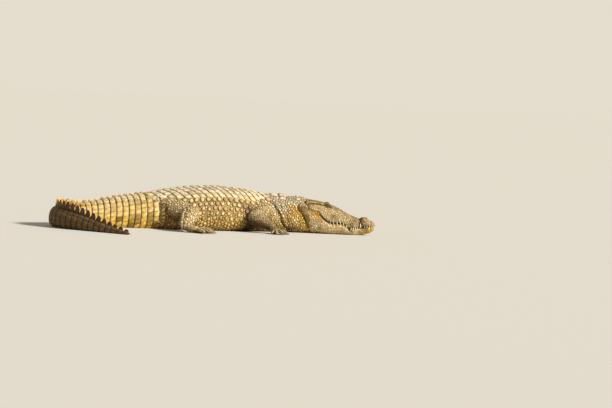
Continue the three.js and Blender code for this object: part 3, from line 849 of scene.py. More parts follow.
def body_marks(s, share):
    """The marks of the body at distances along it and shares of the way round it."""
    side = np.abs(share)
    is_tail = smooth_step(1500, 1560, s)
    is_neck = 1 - smooth_step(330, 420, s)
    # Beyond its bend the tail is darker and duller, partly its own colour and partly painted
    # shade.
    tail_end_tone_and_shade = smooth_step(2450, 2620, s)
    top = 1 - smooth_step(0.12, 0.4, side)
    pale = top + is_neck * hump(side, 0.3, 0.24) + 0.7 * smooth_step(0.8, 0.95, side)
    warm = 0.3 + 0.4 * smooth_step(0.34, 0.66, side) * (1 - is_neck)
    warm = warm + 0.6 * is_tail * smooth_step(0.42, 0.7, side)
    # A smooth yellow patch on the side of the neck, and a yellow fold against the jaw.
    patch = 0.85 * smooth_step(0, 0.7, hump(s, 165, 92) * hump(side, 0.48, 0.16))
    behind_jaw = s - np.interp(side, *JAW_REAR)
    fold = (1 - smooth_step(48, 76, behind_jaw)) * smooth_step(0.24, 0.34, side)
    bright = np.maximum(patch, fold) * is_neck
    warm = np.maximum(warm, np.maximum(bright, 0.65 * is_neck * smooth_step(0.5, 0.62, side)))
    pale = np.maximum(pale, 0.4 * bright)
    # Painted shade on the lower side of the neck, which faces down, except on its yellow patch and
    # fold.
    dark = 0.55 * is_neck * smooth_step(0.55, 0.7, side) * (1 - bright)
    # Painted shade along the deepest fold of the neck.
    shade = FOLDS[3][0] + 2 * FOLDS[3][1] * (side - 0.25)
    dark = dark + 0.75 * hump(s, shade, 26) * smooth_step(0.2, 0.28, side)
    # Painted shade and shadow behind and under the limbs.
    for where, length, start, full, much in LIMB_SHADE:
        dark = dark + much * hump(s, where, length) * smooth_step(start, full, side)
    for ring, low, high in BROWN_STAINS:
        middle, length = tail_rings()[ring]
        stain = window(side, low - 0.03, low, high, high + 0.03)
        dark = dark + 0.6 * smooth_step(0, 0.5, hump(s, middle, length * 0.62)) * stain
    # The tail's tall rings are yellow below a dark line at the foot of each row of fins.
    row = read(CREST_OFFSET, s) / read(BODY, s) / 3
    warm = warm + is_tail * (0.2 + 0.5 * hump(side, row + 0.1, 0.08))
    dark = dark + 0.4 * is_tail * hump(side, row + 0.03, 0.03)
    # The tail beyond its bend: its darker colour and painted shade.
    dark = dark + 0.95 * tail_end_tone_and_shade
    return np.stack([pale * (1 - tail_end_tone_and_shade), warm * (1 - 0.7 * tail_end_tone_and_shade), dark], -1)


def limb_marks(z, normals, is_front):
    """Limbs are greyer than the flank and carry painted shade underneath; the forearms are
    darkest, partly greyer and partly in painted shade.
    """
    # Painted shade on the parts that face down.
    below = smooth_step(0.1, -0.6, normals[:, 2])
    dull = np.where(is_front, 0.16 + 0.45 * smooth_step(190, 100, z) * smooth_step(36, 50, z), 0.0)
    pale = np.where(is_front, 0.3, 0.75) * (1 - below)
    warm = np.where(is_front, 0.3, 0.5)
    return np.stack([pale, warm, dull + 0.6 * below], -1)


def cheek_rim(u, z):
    """How far across the muscle behind the skull a place is, and 1 on its upper rim."""
    across = np.hypot((u - CHEEK["u"]) / CHEEK_REACH, (z - CHEEK["z"]) / CHEEK_SHOWS)
    return across, hump(across, 0.9, 0.28) * smooth_step(205, 240, z) * smooth_step(640, 652, u)


# Stains on the cheek before the eye and on the snout behind the nostrils: distance, height,
# half length, half height, how dark.
HEAD_STAINS = [[402, 176, 60, 34, 0.5], [205, 140, 40, 26, 0.4]]


def head_marks(points):
    """Yellow jaws, painted shade along the slit of the mouth and a greyer skull."""
    u, z = head_distances(points)
    line = read(MOUTH_LINE, u)
    jaw = smooth_step(line + 4, line - 8, z) * (1 - smooth_step(600, 650, u))
    tip = 1 - smooth_step(100, 128, u)
    upper_lip = (1 - jaw) * (1 - smooth_step(line, line + 26, z))
    warm = 0.2 + 0.2 * jaw + 0.6 * jaw * tip + 0.3 * upper_lip
    warm = np.maximum(warm, hump(u, 560, 92) * hump(z, line - 36, 62) * 1.9)
    # The muscle behind the skull is pale and yellow along its upper edge, and dull inside.
    across, edge = cheek_rim(u, z)
    warm = np.maximum(warm, 0.6 * edge)
    warm = warm + 0.4 * smooth_step(480, 500, u) * smooth_step(270, 284, z)
    pale = 0.5 * jaw + 0.3 * hump(u, 575, 60) * smooth_step(170, 150, z) + edge
    pale = pale + 0.6 * hump(z, line + 24, 20) * (u < 540)
    pale = pale + 0.5 * hump(u, 330, 60) * smooth_step(190, 215, z)
    dark = 0.2 * (1 - jaw)
    dark = dark + 0.35 * smooth_step(0.8, 1.0, (z - line) / (read(HEAD_TOP, u) - line))
    dark = dark + 0.45 * (1 - smooth_step(0.45, 0.75, across))
    for where, high, length, tall, much in HEAD_STAINS:
        dark = dark + much * hump(u, where, length) * hump(z, high, tall)
    # Painted shade in the crease up from the notch of the lip.
    dark = dark + 0.9 * hump(u, 148, 24) * smooth_step(84, 100, z) * (1 - smooth_step(140, 170, z))
    # Painted shade round the eye, in a line before it and in the crease behind the upper teeth.
    eye = np.hypot((u - EYE["u"]) / 46, (z - EYE["z"] - 2) / 24)
    shade_before_eye = hump(z, 262 - 0.42 * (EYE["u"] - u), 7) * smooth_step(360, 400, u) * (u < 470)
    crease = hump(u, 262 - 0.3 * (z - 66), 9) * smooth_step(160, 120, z) * smooth_step(66, 80, z)
    dark = np.maximum(dark, 0.85 * (1 - smooth_step(0.6, 1.0, eye)))
    dark = np.maximum(dark, np.maximum(0.5 * shade_before_eye, 0.7 * crease))
    # Painted shade along the slit of the mouth, under the overhanging upper lip.
    lips = hump(z, line, 15) * (1 - shut(u + 6))
    # Two lines of painted shade lie in the grooves close round the ear's flap, and run on to the
    # corner of the eye.
    behind_eye = window(u, 482, 494, 644, 654)
    slit = 1.2 * hump(z, read(EAR_LINE, u), 10) + 0.8 * hump(z, read(EAR_LINE, u) + 27, 8)
    lines = np.minimum(slit * behind_eye, 1)
    # Painted shade in the fold under the corner of the mouth.
    fold = 0.8 * hump(z, line - 34, 10) * smooth_step(528, 548, u) * (1 - smooth_step(610, 640, u))
    dark = np.maximum.reduce([dark, lips, lines, fold])
    return np.stack([pale, np.minimum(warm, 1), dark], -1)


MARKS = ("pale", "warm", "dark")


def store(mesh, name, values):
    layer = mesh.attributes.get(name) or mesh.attributes.new(name, "FLOAT", "POINT")
    layer.data.foreach_set("value", np.asarray(values, np.float32).ravel())


def fetch(mesh, name):
    values = np.empty(len(mesh.vertices), np.float32)
    mesh.attributes[name].data.foreach_get("value", values)
    return values


def hollows(mesh, rounds, depth):
    """1 at the bottom of creases of this depth in millimetres, 0 where the skin is level."""
    ends = np.empty(len(mesh.edges) * 2, np.int32)
    mesh.edges.foreach_get("vertices", ends)
    one, other = ends.reshape(-1, 2).T
    points = corners(mesh) / MM
    count = np.bincount(np.concatenate([one, other]), minlength=len(points))
    eased = points
    for _ in range(rounds):
        ahead = [np.bincount(one, eased[other, k], len(points)) for k in range(3)]
        back = [np.bincount(other, eased[one, k], len(points)) for k in range(3)]
        eased = (np.stack(ahead, -1) + np.stack(back, -1)) / count[:, None]
    return np.clip(((eased - points) * slopes(mesh)).sum(1) / depth, 0, 1)


def meeting(piece, others, reach):
    """1 where a piece of skin meets one of the others, falling to 0 at a reach from there."""
    points = corners(piece.data)
    near = np.zeros(len(points))
    for other in others:
        faces = [tuple(polygon.vertices) for polygon in other.data.polygons]
        tree = BVHTree.FromPolygons([tuple(point) for point in corners(other.data)], faces)
        for k, point in enumerate(points):
            distance = tree.find_nearest(point, reach * MM)[3]
            if distance is not None:
                near[k] = max(near[k], 1 - distance / (reach * MM))
    return near


# ---- The scales ----------------------------------------------------------------------------

SUNK = 2.5  # how deep the rim of a scale stands in the skin
OFF_FLOOR = 0.0003  # least height of a scale, in metres
WIDEST = 0.06  # scales further apart than this can't overlap, in metres
OVERLAP = 0.8  # how close two scales may stand, as a share of their half widths together
PATCH = 0.0015  # half the size of a scale's patch on the unwrap
# Which random numbers, counted from a scale's own seed, turn it and choose it to be dark.
TURN_SEED = 500
DARK_SEED = 900
DARK_SHARE = 0.125
DARKER = 0.22
BARE_RIM = {"body": 0.66, "head": 0.45}  # how dark the skin between scales is


def extend(bm, reach, height):
    """Adds a ring of faces round the open edge, out to a reach (or straight down) at a height."""
    rim = [edge for edge in bm.edges if edge.is_boundary]
    for item in bmesh.ops.extrude_edge_only(bm, edges=rim)["geom"]:
        if isinstance(item, bmesh.types.BMVert):
            x, y, _ = item.co
            share = reach / math.hypot(x, y) if reach else 1
            item.co = (x * share, y * share, height)


def template(name, bm):
    """A mesh to copy, closed underneath and with its faces outwards."""
    open_edges = [edge for edge in bm.edges if edge.is_boundary]
    bmesh.ops.holes_fill(bm, edges=open_edges, sides=0)
    bmesh.ops.recalc_face_normals(bm, faces=bm.faces)
    return smooth_mesh(name, bm)


def cobble():
    """A low cushion of eight sides, later fitted between its neighbours."""
    bm = bmesh.new()
    bmesh.ops.create_circle(bm, cap_ends=True, cap_tris=True, segments=8, radius=0.62)
    for vert in bm.verts:
        vert.co.z = 0.96 if vert.is_boundary else 1
    extend(bm, 0.9, 0.66)
    extend(bm, 1, -1)
    return template("cobble", bm)


def plate(columns, rows, roundness, height):
    """A closed plate one unit to each side; height(x, y) is its top, from 0 to 1."""
    bm = bmesh.new()
    bmesh.ops.create_grid(bm, x_segments=columns, y_segments=rows, size=1)
    for vert in bm.verts:
        x, y, _ = vert.co
        inset_x = math.sqrt(1 - roundness * y * y / 2)
        inset_y = math.sqrt(1 - roundness * x * x / 2)
        vert.co = (x * inset_x, y * inset_y, max(height(x, y), 0.02))
    extend(bm, None, -1)
    return template("plate", bm)


def keeled(x, y):
    """A scute of the back: dished round a keel that climbs towards the tail."""
    edge = 1 - 0.55 * max(abs(x), abs(y)) ** 3
    keel = max(0, 1 - abs(y) / 0.42) ** 0.8 * (0.3 + 0.7 * (x + 1) / 2) * (1 - max(0, x - 0.7))
    return 0.42 * edge + 0.58 * keel


def flat_tile(x, y):
    return 1 - 0.4 * max(abs(x), abs(y)) ** 4 - 0.12 * y * y


def banded(x, y):
    """A tile of the tail's rings, which nearly joins the tiles above and below it."""
    return 1 - 0.45 * abs(x) ** 4 - 0.08 * abs(y) ** 6 + 0.12 * x


def pointed(x, y):
    """A scale of a limb's fringe, rising to a point that looks tailwards."""
    return max(0, 1 - abs(y)) * (x + 1) / 2


PLATES = {
    "scute": plate(6, 6, 0.35, keeled),
    "cobble": cobble(),
    "tile": plate(3, 3, 0.3, flat_tile),
    "band": plate(6, 3, 0.06, banded),
    "fringe": plate(2, 4, 0.9, pointed),
}


def places(rows):
    """Rows of [along, around, length, width, height, skew] as one array."""
    return np.array(rows, float).reshape(-1, 6)


def crowd(*groups):
    """All of these scales but those that would stand too close to one before them."""
    spots = np.concatenate(groups)
    cell = spots[:, 2:4].max()
    kept = {}
    keep = []
    for k, (s, around, length, width) in enumerate(spots[:, :4]):
        size = math.sqrt(length * width)
        column, row = int(s // cell), int(around // cell)
        close = [kept.get((column + i, row + j), []) for i in (-1, 0, 1) for j in (-1, 0, 1)]
        near = [other for group in close for other in group]
        if all(math.hypot(s - a, around - b) > 0.46 * (size + c) for a, b, c in near):
            kept.setdefault((column, row), []).append((s, around, size))
            keep.append(k)
    return spots[keep]


def middle_line(_):
    """The least way round from the middle line, for scales that cover a sheet up to it."""
    return 0


def scatter(start, end, low, high, sizes, height, seed):
    """Far too many scales of mixed sizes strewn at random, the largest first, to be thinned."""
    chance = np.random.default_rng(seed)
    groups = []
    for size in sizes:
        middle = (start + end) / 2
        room = (end - start) * 2 * (high(middle) - low(middle))
        s, across, side = chance.random((3, int(5 * room / size ** 2)))
        s = start + (end - start) * s
        around = (low(s) + (high(s) - low(s)) * across) * np.where(side < 0.5, -1, 1)
        same = (size, size, height * size / sizes[0], 0)
        groups.append(np.stack([s, around, *(np.full(len(s), each) for each in same)], -1))
    return np.concatenate(groups)


def field(start, end, low, high, length, width, height, seed, jitter, stagger=True):
    """Scales in rings between two distances along, on both sides, from low(s) to high(s) round."""
    rows = []
    chance = np.random.default_rng(seed)
    s, ring = start, 0
    while s < end:
        near, far = low(s), high(s)
        count = int((far - near) / width + 0.5)
        wide = (far - near) / count if count else 0
        for side in (-1, 1):
            for k in range(count):
                shift = (0.5 if stagger and ring % 2 else 0) * wide
                around = near + (k + 0.5) * wide + shift
                if around > far + wide * 0.2:
                    continue
                wobble = (chance.random(4) - 0.5) * 2 * jitter
                rows.append([
                    s + wobble[0] * length, side * (around + wobble[1] * wide),
                    length * (1 + wobble[2]), wide * (1 + wobble[3]), height * (1 + wobble[2]),
                    wobble[3] * 2,
                ])
        s += length
        ring += 1
    return places(rows)


class Skin:
    """The finished skin, to stand scales on."""

    def __init__(self, piece):
        self.piece = piece
        self.normals = slopes(piece.data)
        self.marks = np.stack([fetch(piece.data, name) for name in MARKS], -1)
        self.tree = tree_of(corners(piece.data))
        self.taken = []

    def bare(self, sheet, spots, reach=13):
        """Which scales would stand on open skin, clear of those before, and its marks there."""
        at = sheet.at(spots[:, 0], spots[:, 1])
        ahead = sheet.at(spots[:, 0] + 4, spots[:, 1]) - at
        beside = sheet.at(spots[:, 0], spots[:, 1] + 4) - at
        out = unit(np.cross(ahead, beside))
        size = np.minimum(spots[:, 2], spots[:, 3]) / 2
        before = tree_of([point for point, _ in self.taken]) if self.taken else None
        keep = np.zeros(len(spots), bool)
        marks = np.zeros((len(spots), len(MARKS)))
        for k, point in enumerate(at * MM):
            _, nearest, distance = self.tree.find(point)
            marks[k] = self.marks[nearest]
            keep[k] = distance < reach * MM and abs(self.normals[nearest] @ out[k]) > 0.5
            if keep[k] and before is not None:
                near = before.find_range(point, WIDEST)
                keep[k] = all(d > OVERLAP * (size[k] + self.taken[j][1]) * MM for _, j, d in near)
        self.taken += [(point, r) for point, r, k in zip(at * MM, size, keep) if k]
        return keep, marks

    def press(self, piece, lift):
        """The piece's points brought onto the skin, and lifted off it along the skin's slope."""
        wrap = piece.modifiers.new("Wrap", "SHRINKWRAP")
        wrap.target = self.piece
        wrap.wrap_method = "NEAREST_SURFACEPOINT"
        wrap.wrap_mode = "ABOVE_SURFACE"
        wrap.offset = lift
        depsgraph = bpy.context.evaluated_depsgraph_get()
        points = corners(piece.evaluated_get(depsgraph).data)
        piece.modifiers.clear()
        return points


NEIGHBOURS = 14
SEAM = 0.09  # width of the seam between two scales, as a share of their size


def room_round(spots, turns):
    """How far each scale may reach at these turns round it before it meets its neighbours."""
    size = np.sqrt(spots[:, 2] * spots[:, 3]) / 2
    middles = [(s, around, 0) for s, around in spots[:, :2]]
    tree = tree_of(middles)
    found = [tree.find_n(middle, NEIGHBOURS) for middle in middles]
    near = np.array([[index for _, index, _ in row] for row in found])[:, 1:]
    way = spots[near, :2] - spots[:, None, :2]
    apart = np.maximum(np.hypot(way[..., 0], way[..., 1]), 1)
    edge = (apart ** 2 + size[:, None] ** 2 - size[near] ** 2) / (2 * apart)
    toward = np.cos(np.arctan2(way[..., 1], way[..., 0])[..., None] - turns[:, None])
    limit = np.where(toward > 0.05, edge[..., None] / np.maximum(toward, 0.05), 1e6).min(1)
    return np.minimum(limit, 1.3 * size[:, None]) - SEAM * size[:, None]


def lay(skin, shape, sheet, spots, cell, seed, reach=13, seams=(0.75, 0.75)):
    """Copies of a plate, laid on the skin where the sheet has these spots.

    seams are how dark its edges are ahead and behind, and at its sides.
    """
    keep, marks = skin.bare(sheet, spots, reach)
    spots, marks = spots[keep], marks[keep]
    count = len(spots)
    if not count:
        return None
    local = corners(PLATES[shape])
    piece = add_object("scales", PLATES[shape].copy())
    copies = piece.modifiers.new("Copies", "ARRAY")
    copies.count = count
    copies.use_relative_offset = False
    apply_modifiers(piece)
    x, y, z = (np.tile(local[:, k], (count, 1)) for k in range(3))
    s, around, length, width, height, skew = (spots[:, k][:, None] for k in range(6))
    if shape == "cobble":
        turned = lasting_random(count, seed + TURN_SEED)[:, None] * 2 * np.pi + np.arctan2(y, x)
        room = room_round(spots, turned) * np.hypot(x, y)
        ahead, across = room * np.cos(turned), room * np.sin(turned)
    else:
        ahead, across = x * length / 2, y * width / 2
    flat = sheet.at((s + ahead + across * skew).ravel(), (around + across).ravel())
    set_corners(piece.data, flat * MM)
    foot = skin.press(piece, 0)
    out = unit(skin.press(piece, 0.01) - foot)
    rise = np.where(z < 0, -SUNK, z * height).ravel() * MM
    points = foot + out * rise[:, None]
    points[:, 2] = np.maximum(points[:, 2], OFF_FLOOR)
    set_corners(piece.data, points)
    edge = smooth_step(0.78, 1.06, np.abs(local[:, :2])) * seams
    if shape == "cobble":
        edge = smooth_step(0.62, 1.0, np.hypot(*local[:, :2].T))[:, None] * seams[0]
    rim = np.where(local[:, 2] < 0, 1.0, edge.max(1))
    store(piece.data, "rim", np.tile(rim, count))
    marks[:, 2] += DARKER * (lasting_random(count, seed + DARK_SEED) > 1 - DARK_SHARE)
    for name, values in zip(MARKS, marks.T):
        store(piece.data, name, np.repeat(values, len(local)))
    spread = {"band": 0.4, "scute": 0.7}.get(shape, 0.9)
    store(piece.data, "tone", np.repeat(spread * lasting_random(count, seed), len(local)))
    share = spots[:, 1] / sheet.half_girth(spots[:, 0])
    unwrap(piece.data, sheet, spots, share, local, cell)
    return piece


def tint(piece, **values):
    """Gives a whole piece the same marks."""
    for name, value in values.items():
        store(piece.data, name, np.full(len(piece.data.vertices), value))
    return piece


def store_unwrap(mesh, places):
    """Stores where each vertex lies on the bake unwrap named OFBake."""
    loops = np.empty(len(mesh.loops), np.int32)
    mesh.loops.foreach_get("vertex_index", loops)
    layer = mesh.uv_layers.get("OFBake") or mesh.uv_layers.new(name="OFBake")
    layer.data.foreach_set("uv", places[loops].astype(np.float32).ravel())


def unwrap(mesh, sheet, spots, share, local, cell):
    """Each scale is a small patch at its root's place on the sheet unrolled into its cell."""
    low, size = np.array(cell[:2]), np.array(cell[2:])
    along = (spots[:, 0] - sheet.start) / (sheet.end - sheet.start)
    root = np.stack([along, np.clip(share, -1, 1) / 2 + 0.5], -1)
    root = low + size * (0.02 + 0.96 * np.clip(root, 0, 1))
    store_unwrap(mesh, (root[:, None, :] + local[None, :, :2] * PATCH).reshape(-1, 2))


def join_pieces(name, pieces):
    """Joins objects into one, keeping their stored values and unwraps."""
    pieces = [piece for piece in pieces if piece]
    if len(pieces) > 1:
        with bpy.context.temp_override(active_object=pieces[0], selected_editable_objects=pieces):
            bpy.ops.object.join()
    pieces[0].name = name
    pieces[0].data.name = name
    return pieces[0]


WHOLE = [0, 0, 1, 1]
CELLS = 4  # the unwrap is this many cells each way where small sheets share it


def shared_cell(k):
    return [(k % CELLS) / CELLS, (k // CELLS) / CELLS, 1 / CELLS, 1 / CELLS]


# Half width of the shield of scutes at distances along, measured round the body.
SHIELD = [[430, 130], [520, 196], [640, 250], [BELLY, 268], [1200, 250], [1340, 208], [HIP, 170],
          [1560, 132]]
BELLY_SHARE = 0.74  # how far round the scales of the belly begin, from 0 at the back to 1
FLANK_START = 420
BELLY_START = 300
SWEEP = 0.52  # how steeply the rows of scutes run headwards at the edge of the shield


def shield_scutes():
    """Squarish keeled scutes in line across the back, each row swept headwards at its ends."""
    rows = []
    chance = np.random.default_rng(5)
    for s in np.arange(450, 1600, 66):
        half = float(read(SHIELD, s - 40))
        count = max(2, round(half / 60))
        wide = half / count
        for side in (-1, 1):
            for k in range(count):
                nudge = (chance.random(3) - 0.5) * 5
                around = (k + 0.5) * wide
                swept = SWEEP * around ** 2 / (around + 60)
                slope = SWEEP * (around ** 2 + 120 * around) / (around + 60) ** 2
                rows.append([
                    s - swept + nudge[0], side * (around + nudge[1]), 63, wide,
                    8.5 + 2.5 * around / 260, -side * slope,
                ])
    return places(rows)


def nape_scutes():
    """Six large scutes in the middle of the nape and a row of four behind the skull."""
    rows = []
    for s, offset, length, width, height in NAPE_SCUTES:
        rows += [[s, side * offset, length * 2, width * 2, height, 0] for side in (-1, 1)]
    for offset in (30, 88):
        rows += [[86, side * offset, 44, 42, 12, 0] for side in (-1, 1)]
    return places(rows)


def flank_ovals():
    """Lengthwise rows of large ovals beside the shield, apart from each other."""
    rows = []
    chance = np.random.default_rng(8)
    for k, size in enumerate((54, 50, 47, 44, 42)):
        for s in np.arange(430 + 29 * (k % 2), 1440, 58):
            wobble = (chance.random(3) - 0.5) * (6 + 2 * k)
            around = float(read(SHIELD, s)) + 28 + k * 46 + wobble[0]
            rows += [[s - 34 + wobble[1], side * around, size + wobble[2], size - 4, size / 5, 0]
                     for side in (-1, 1)]
    return places(rows)


def tail_rings():
    rings = []
    s = CREST_START
    while s < TAIL_TIP - LAST_RING:
        span = TAIL_TIP - CREST_START
        length = FIRST_RING + (LAST_RING - FIRST_RING) * (s - CREST_START) / span
        rings.append([s + length / 2, length])
        s += length
    return rings


def tail_tiles(sheet):
    """Rings of oblong tiles round the tail, below its crest and between the crest's two rows."""
    rows = []
    for s, length in tail_rings():
        half = float(sheet.half_girth(s))
        first = float(read(CREST_OFFSET, s)) if s < CREST_JOIN else 0
        count = max(2, round((half - first) / 46))
        wide = (half - first) / count
        for side in (-1, 1):
            for k in range(count):
                high = 7 if k < count * 0.7 else 3.5
                rows.append([s, side * (first + (k + 0.5) * wide), length * 0.97, wide, high, 0])
            inner = max(1, round(first / 40)) if first > 16 else 0
            for k in range(inner):
                span = (first - 8) / inner
                rows.append([s, side * (k + 0.5) * span, length * 0.95, span * 0.95, 6, 0])
    return places(rows)


def body_coat(skin, sheet):
    """Every scale of the trunk, neck and tail, largest first so that small ones fill between."""

    def belly_line(s):
        return sheet.half_girth(s) * BELLY_SHARE

    def beside_shield(s):
        return read(SHIELD, s) + 4

    def put(shape, spots, seed, reach=13, seams=(0.75, 0.75)):
        return lay(skin, shape, sheet, spots, WHOLE, seed, reach, seams)

    join_pieces("nape_scutes", [put("scute", nape_scutes(), 1, 30)])
    join_pieces("back_scutes", [put("scute", shield_scutes(), 2, 20, (0.95, 0.4))])
    join_pieces("tail_tiles", [put("band", tail_tiles(sheet), 3, 20, (0.95, 0.25))])
    side = field(FLANK_START, VENT, beside_shield, belly_line, 36, 34, 7.5, 11, 0.12)
    filling = scatter(FLANK_START, VENT, beside_shield, belly_line, (28, 21, 16, 12), 5.5, 16)
    join_pieces("flank_scales", [put("cobble", crowd(flank_ovals(), side, filling), 4)])
    belly = field(BELLY_START, VENT, belly_line, sheet.half_girth, 35, 33, 2.6, 12, 0.03, False)
    join_pieces("belly_scales", [put("tile", belly, 6)])
    neck = scatter(-30, 430, middle_line, belly_line, (27, 22, 17, 13, 10), 5.5, 13)
    throat = field(40, BELLY_START, belly_line, sheet.half_girth, 27, 26, 2.6, 15, 0.05)
    join_pieces("neck_scales", [put("cobble", crowd(neck), 7), put("tile", throat, 9)])


def spread_over(sheet, sizes, height, seed):
    """Scales of mixed sizes all over a sheet."""
    low, high = middle_line, sheet.half_girth
    return crowd(scatter(sheet.start, sheet.end, low, high, sizes, height, seed))


def fringe(sheet, side):
    """Two rows of pointed scales down the rear edge of the shank."""
    rows = []
    for row, share in enumerate((0.2, 0.38)):
        for s in np.arange(-20 + 14 * row, sheet.end - 30, 29):
            around = -side * share * float(sheet.half_girth(s))
            rows.append([s, around, 34, 30, 26 - 8 * row, 0])
    return places(rows)


# Scales of the limbs: sizes on the upper muscle and on the lower one, height of the lower ones.
LIMB_SCALES = {
    "arm_scales": [(19, 15, 11), (20, 16, 12, 9), 4],
    "leg_scales": [(24, 19, 14, 11), (32, 25, 18, 13, 10), 7],
}


def limb_coat(skin):
    """Small scales on the limbs, a fringe down each shank and tiles along each toe."""
    pieces = {name: [] for name in LIMB_SCALES}
    for limb, toes, *_ in LIMBS:
        is_hind = limb is HIND_LIMB
        name = "leg_scales" if is_hind else "arm_scales"
        made = pieces[name]
        upper_sizes, lower_sizes, lower_height = LIMB_SCALES[name]
        for side_index, (_, side) in enumerate(SIDES):
            surfaces = limb_surfaces(limb, side, toes)
            base = side_index * 8
            lower = Sheet(*surfaces["lower"])
            upper = Sheet(*surfaces["upper"])
            heel = Sheet(*surfaces["heel"], step=5)
            if is_hind:
                row = lay(skin, "fringe", lower, fringe(lower, side),
                          shared_cell(base + 1), 39 + base)
                made.append(tint(row, pale=0.8, dark=0))
            made.append(lay(skin, "cobble", lower,
                            spread_over(lower, lower_sizes, lower_height, 20 + base),
                            shared_cell(base + 1), 30 + base))
            made.append(lay(skin, "cobble", upper, spread_over(upper, upper_sizes, 4.5, 21 + base),
                            shared_cell(base), 31 + base))
            made.append(lay(skin, "cobble", heel, spread_over(heel, (17, 13, 10), 3, 22 + base),
                            shared_cell(base + 2), 32 + base, 30))
            for k, surface in enumerate(surfaces["toes"]):
                toe = Sheet(*surface, step=4)
                length = 13
                spots = [[s, 0, length, toes[k][2] * 1.7, 2.4, 0]
                         for s in np.arange(20, surface[2] - 4, length)]
                spots += [[s + 5, way * toes[k][2] * 1.35, 11, 12, 1.8, 0]
                          for s in np.arange(20, surface[2] - 8, 12) for way in (-1, 1)]
                cell = shared_cell(base + 3 + k)
                tiles = lay(skin, "tile", toe, places(spots), cell, 33 + base + k)
                made.append(tint(tiles, pale=0.7))
    for name, made in pieces.items():
        join_pieces(name, made)


# ---- The crest of the tail -----------------------------------------------------------------

BLADE = {"width": 15, "root": 18, "share": 0.96}
BEND = 2480  # distance of the middle of the tail's bend, where the fins are yellow
DARK_GAPS = 2150  # the gaps between fins are darker from here on


def back_height(s, offset):
    share = np.minimum(np.abs(offset) / read(BODY, s, 1), 0.95)
    fall = (1 - share ** UPPER_SQUARENESS) ** (1 / UPPER_SQUARENESS)
    waist = read(BODY, s, 3)
    return waist + (read(BODY, s, 2) - waist) * fall


def lobe():
    """A rounded fin, thick at its root, that leans tailwards."""
    bm = bmesh.new()
    bmesh.ops.create_cube(bm, size=1)
    bmesh.ops.subdivide_edges(bm, edges=bm.edges, cuts=4, use_grid_fill=True)
    for vert in bm.verts:
        along, across, high = vert.co.x * 2, vert.co.y * 2, vert.co.z + 0.5
        front = -0.5 + 0.2 * high ** 2
        back = 0.5 + 0.05 * high
        thick = (1 - 0.8 * high ** 0.7) * (1 - 0.45 * abs(along) ** 3)
        top = high * (1 - 0.42 * abs(along) ** 2.6 * high)
        vert.co = (front + (back - front) * (along + 1) / 2, across * thick, top)
    return template("lobe", bm)


def crest():
    """Two rows of fins that close up along the tail and go on as one row."""
    fin = lobe()
    local = corners(fin)
    pieces = []
    tones = lasting_random(200, 41)
    for s, length in tail_rings():
        if s - length * 0.6 < CREST_START or s + length * 0.6 > TAIL_TIP:
            continue
        offset = float(read(CREST_OFFSET, s))
        for side in ([-1, 1] if s < CREST_JOIN else [0]):
            middle = offset * side
            width = min(BLADE["width"], float(read(BODY, s, 1)))
            foot = float(back_height(s, middle))
            root = min(BLADE["root"], foot / 2)
            height = float(read(CREST_HEIGHT, s))
            x, y, z = local.T
            along = s + x * length * BLADE["share"]
            up = foot - root + z * (height + root)
            piece = add_object("lobe", fin.copy())
            set_corners(piece.data, off_spine(along, middle + y * width / 2, up) * MM)
            mesh = piece.data
            gap = 0.3 if s < DARK_GAPS else 0.75
            rim = gap * smooth_step(0.45, 0.2, z) + 0.4 * gap * smooth_step(0.3, 0.5, np.abs(x))
            store(mesh, "rim", rim)
            # The fins take the body's marks here, the painted shade of the tail beyond its bend
            # included.
            marks = body_marks(np.array([s]), np.array([0.15]))[0]
            at_bend = hump(s, BEND, 190)
            store(mesh, "warm", marks[1] + 0.3 + at_bend * z)
            store(mesh, "dark", marks[2] * (1.1 - at_bend * z))
            tint(piece, pale=marks[0], tone=tones[len(pieces)])
            base = np.array([(s - CREST_START) / (TAIL_TIP - CREST_START), 0.5 + 0.2 * side])
            store_unwrap(mesh, 0.01 + 0.98 * base + local[:, [0, 2]] * PATCH * 2)
            pieces.append(piece)
    return join_pieces("tail_crest", pieces)


# ---- Scales of the head --------------------------------------------------------------------


def keep_clear(skin):
    """No scale of the head covers an eye, an ear, a nostril or the notch of the lip."""
    for _, side in SIDES:
        middle, _, _, out = eye_frame(side)
        skin.taken.append(((middle + out * EYE["radius"]) * MM, 36))
        for u in range(504, 652, 6):
            lift = float(read(EAR_LINE, u))
            out = side * read(LIP_WIDTH, u)
            skin.taken.append((on_head(u, out * 0.84, lift) * MM, 7))
            skin.taken.append((on_head(u, out * 0.78, lift + 10) * MM, 7))
        skin.taken.append((on_head(100, side * 15, 170) * MM, 14))
        skin.taken.append((on_head(NOTCH["u"], side * 78, NOTCH["z"]) * MM, 20))


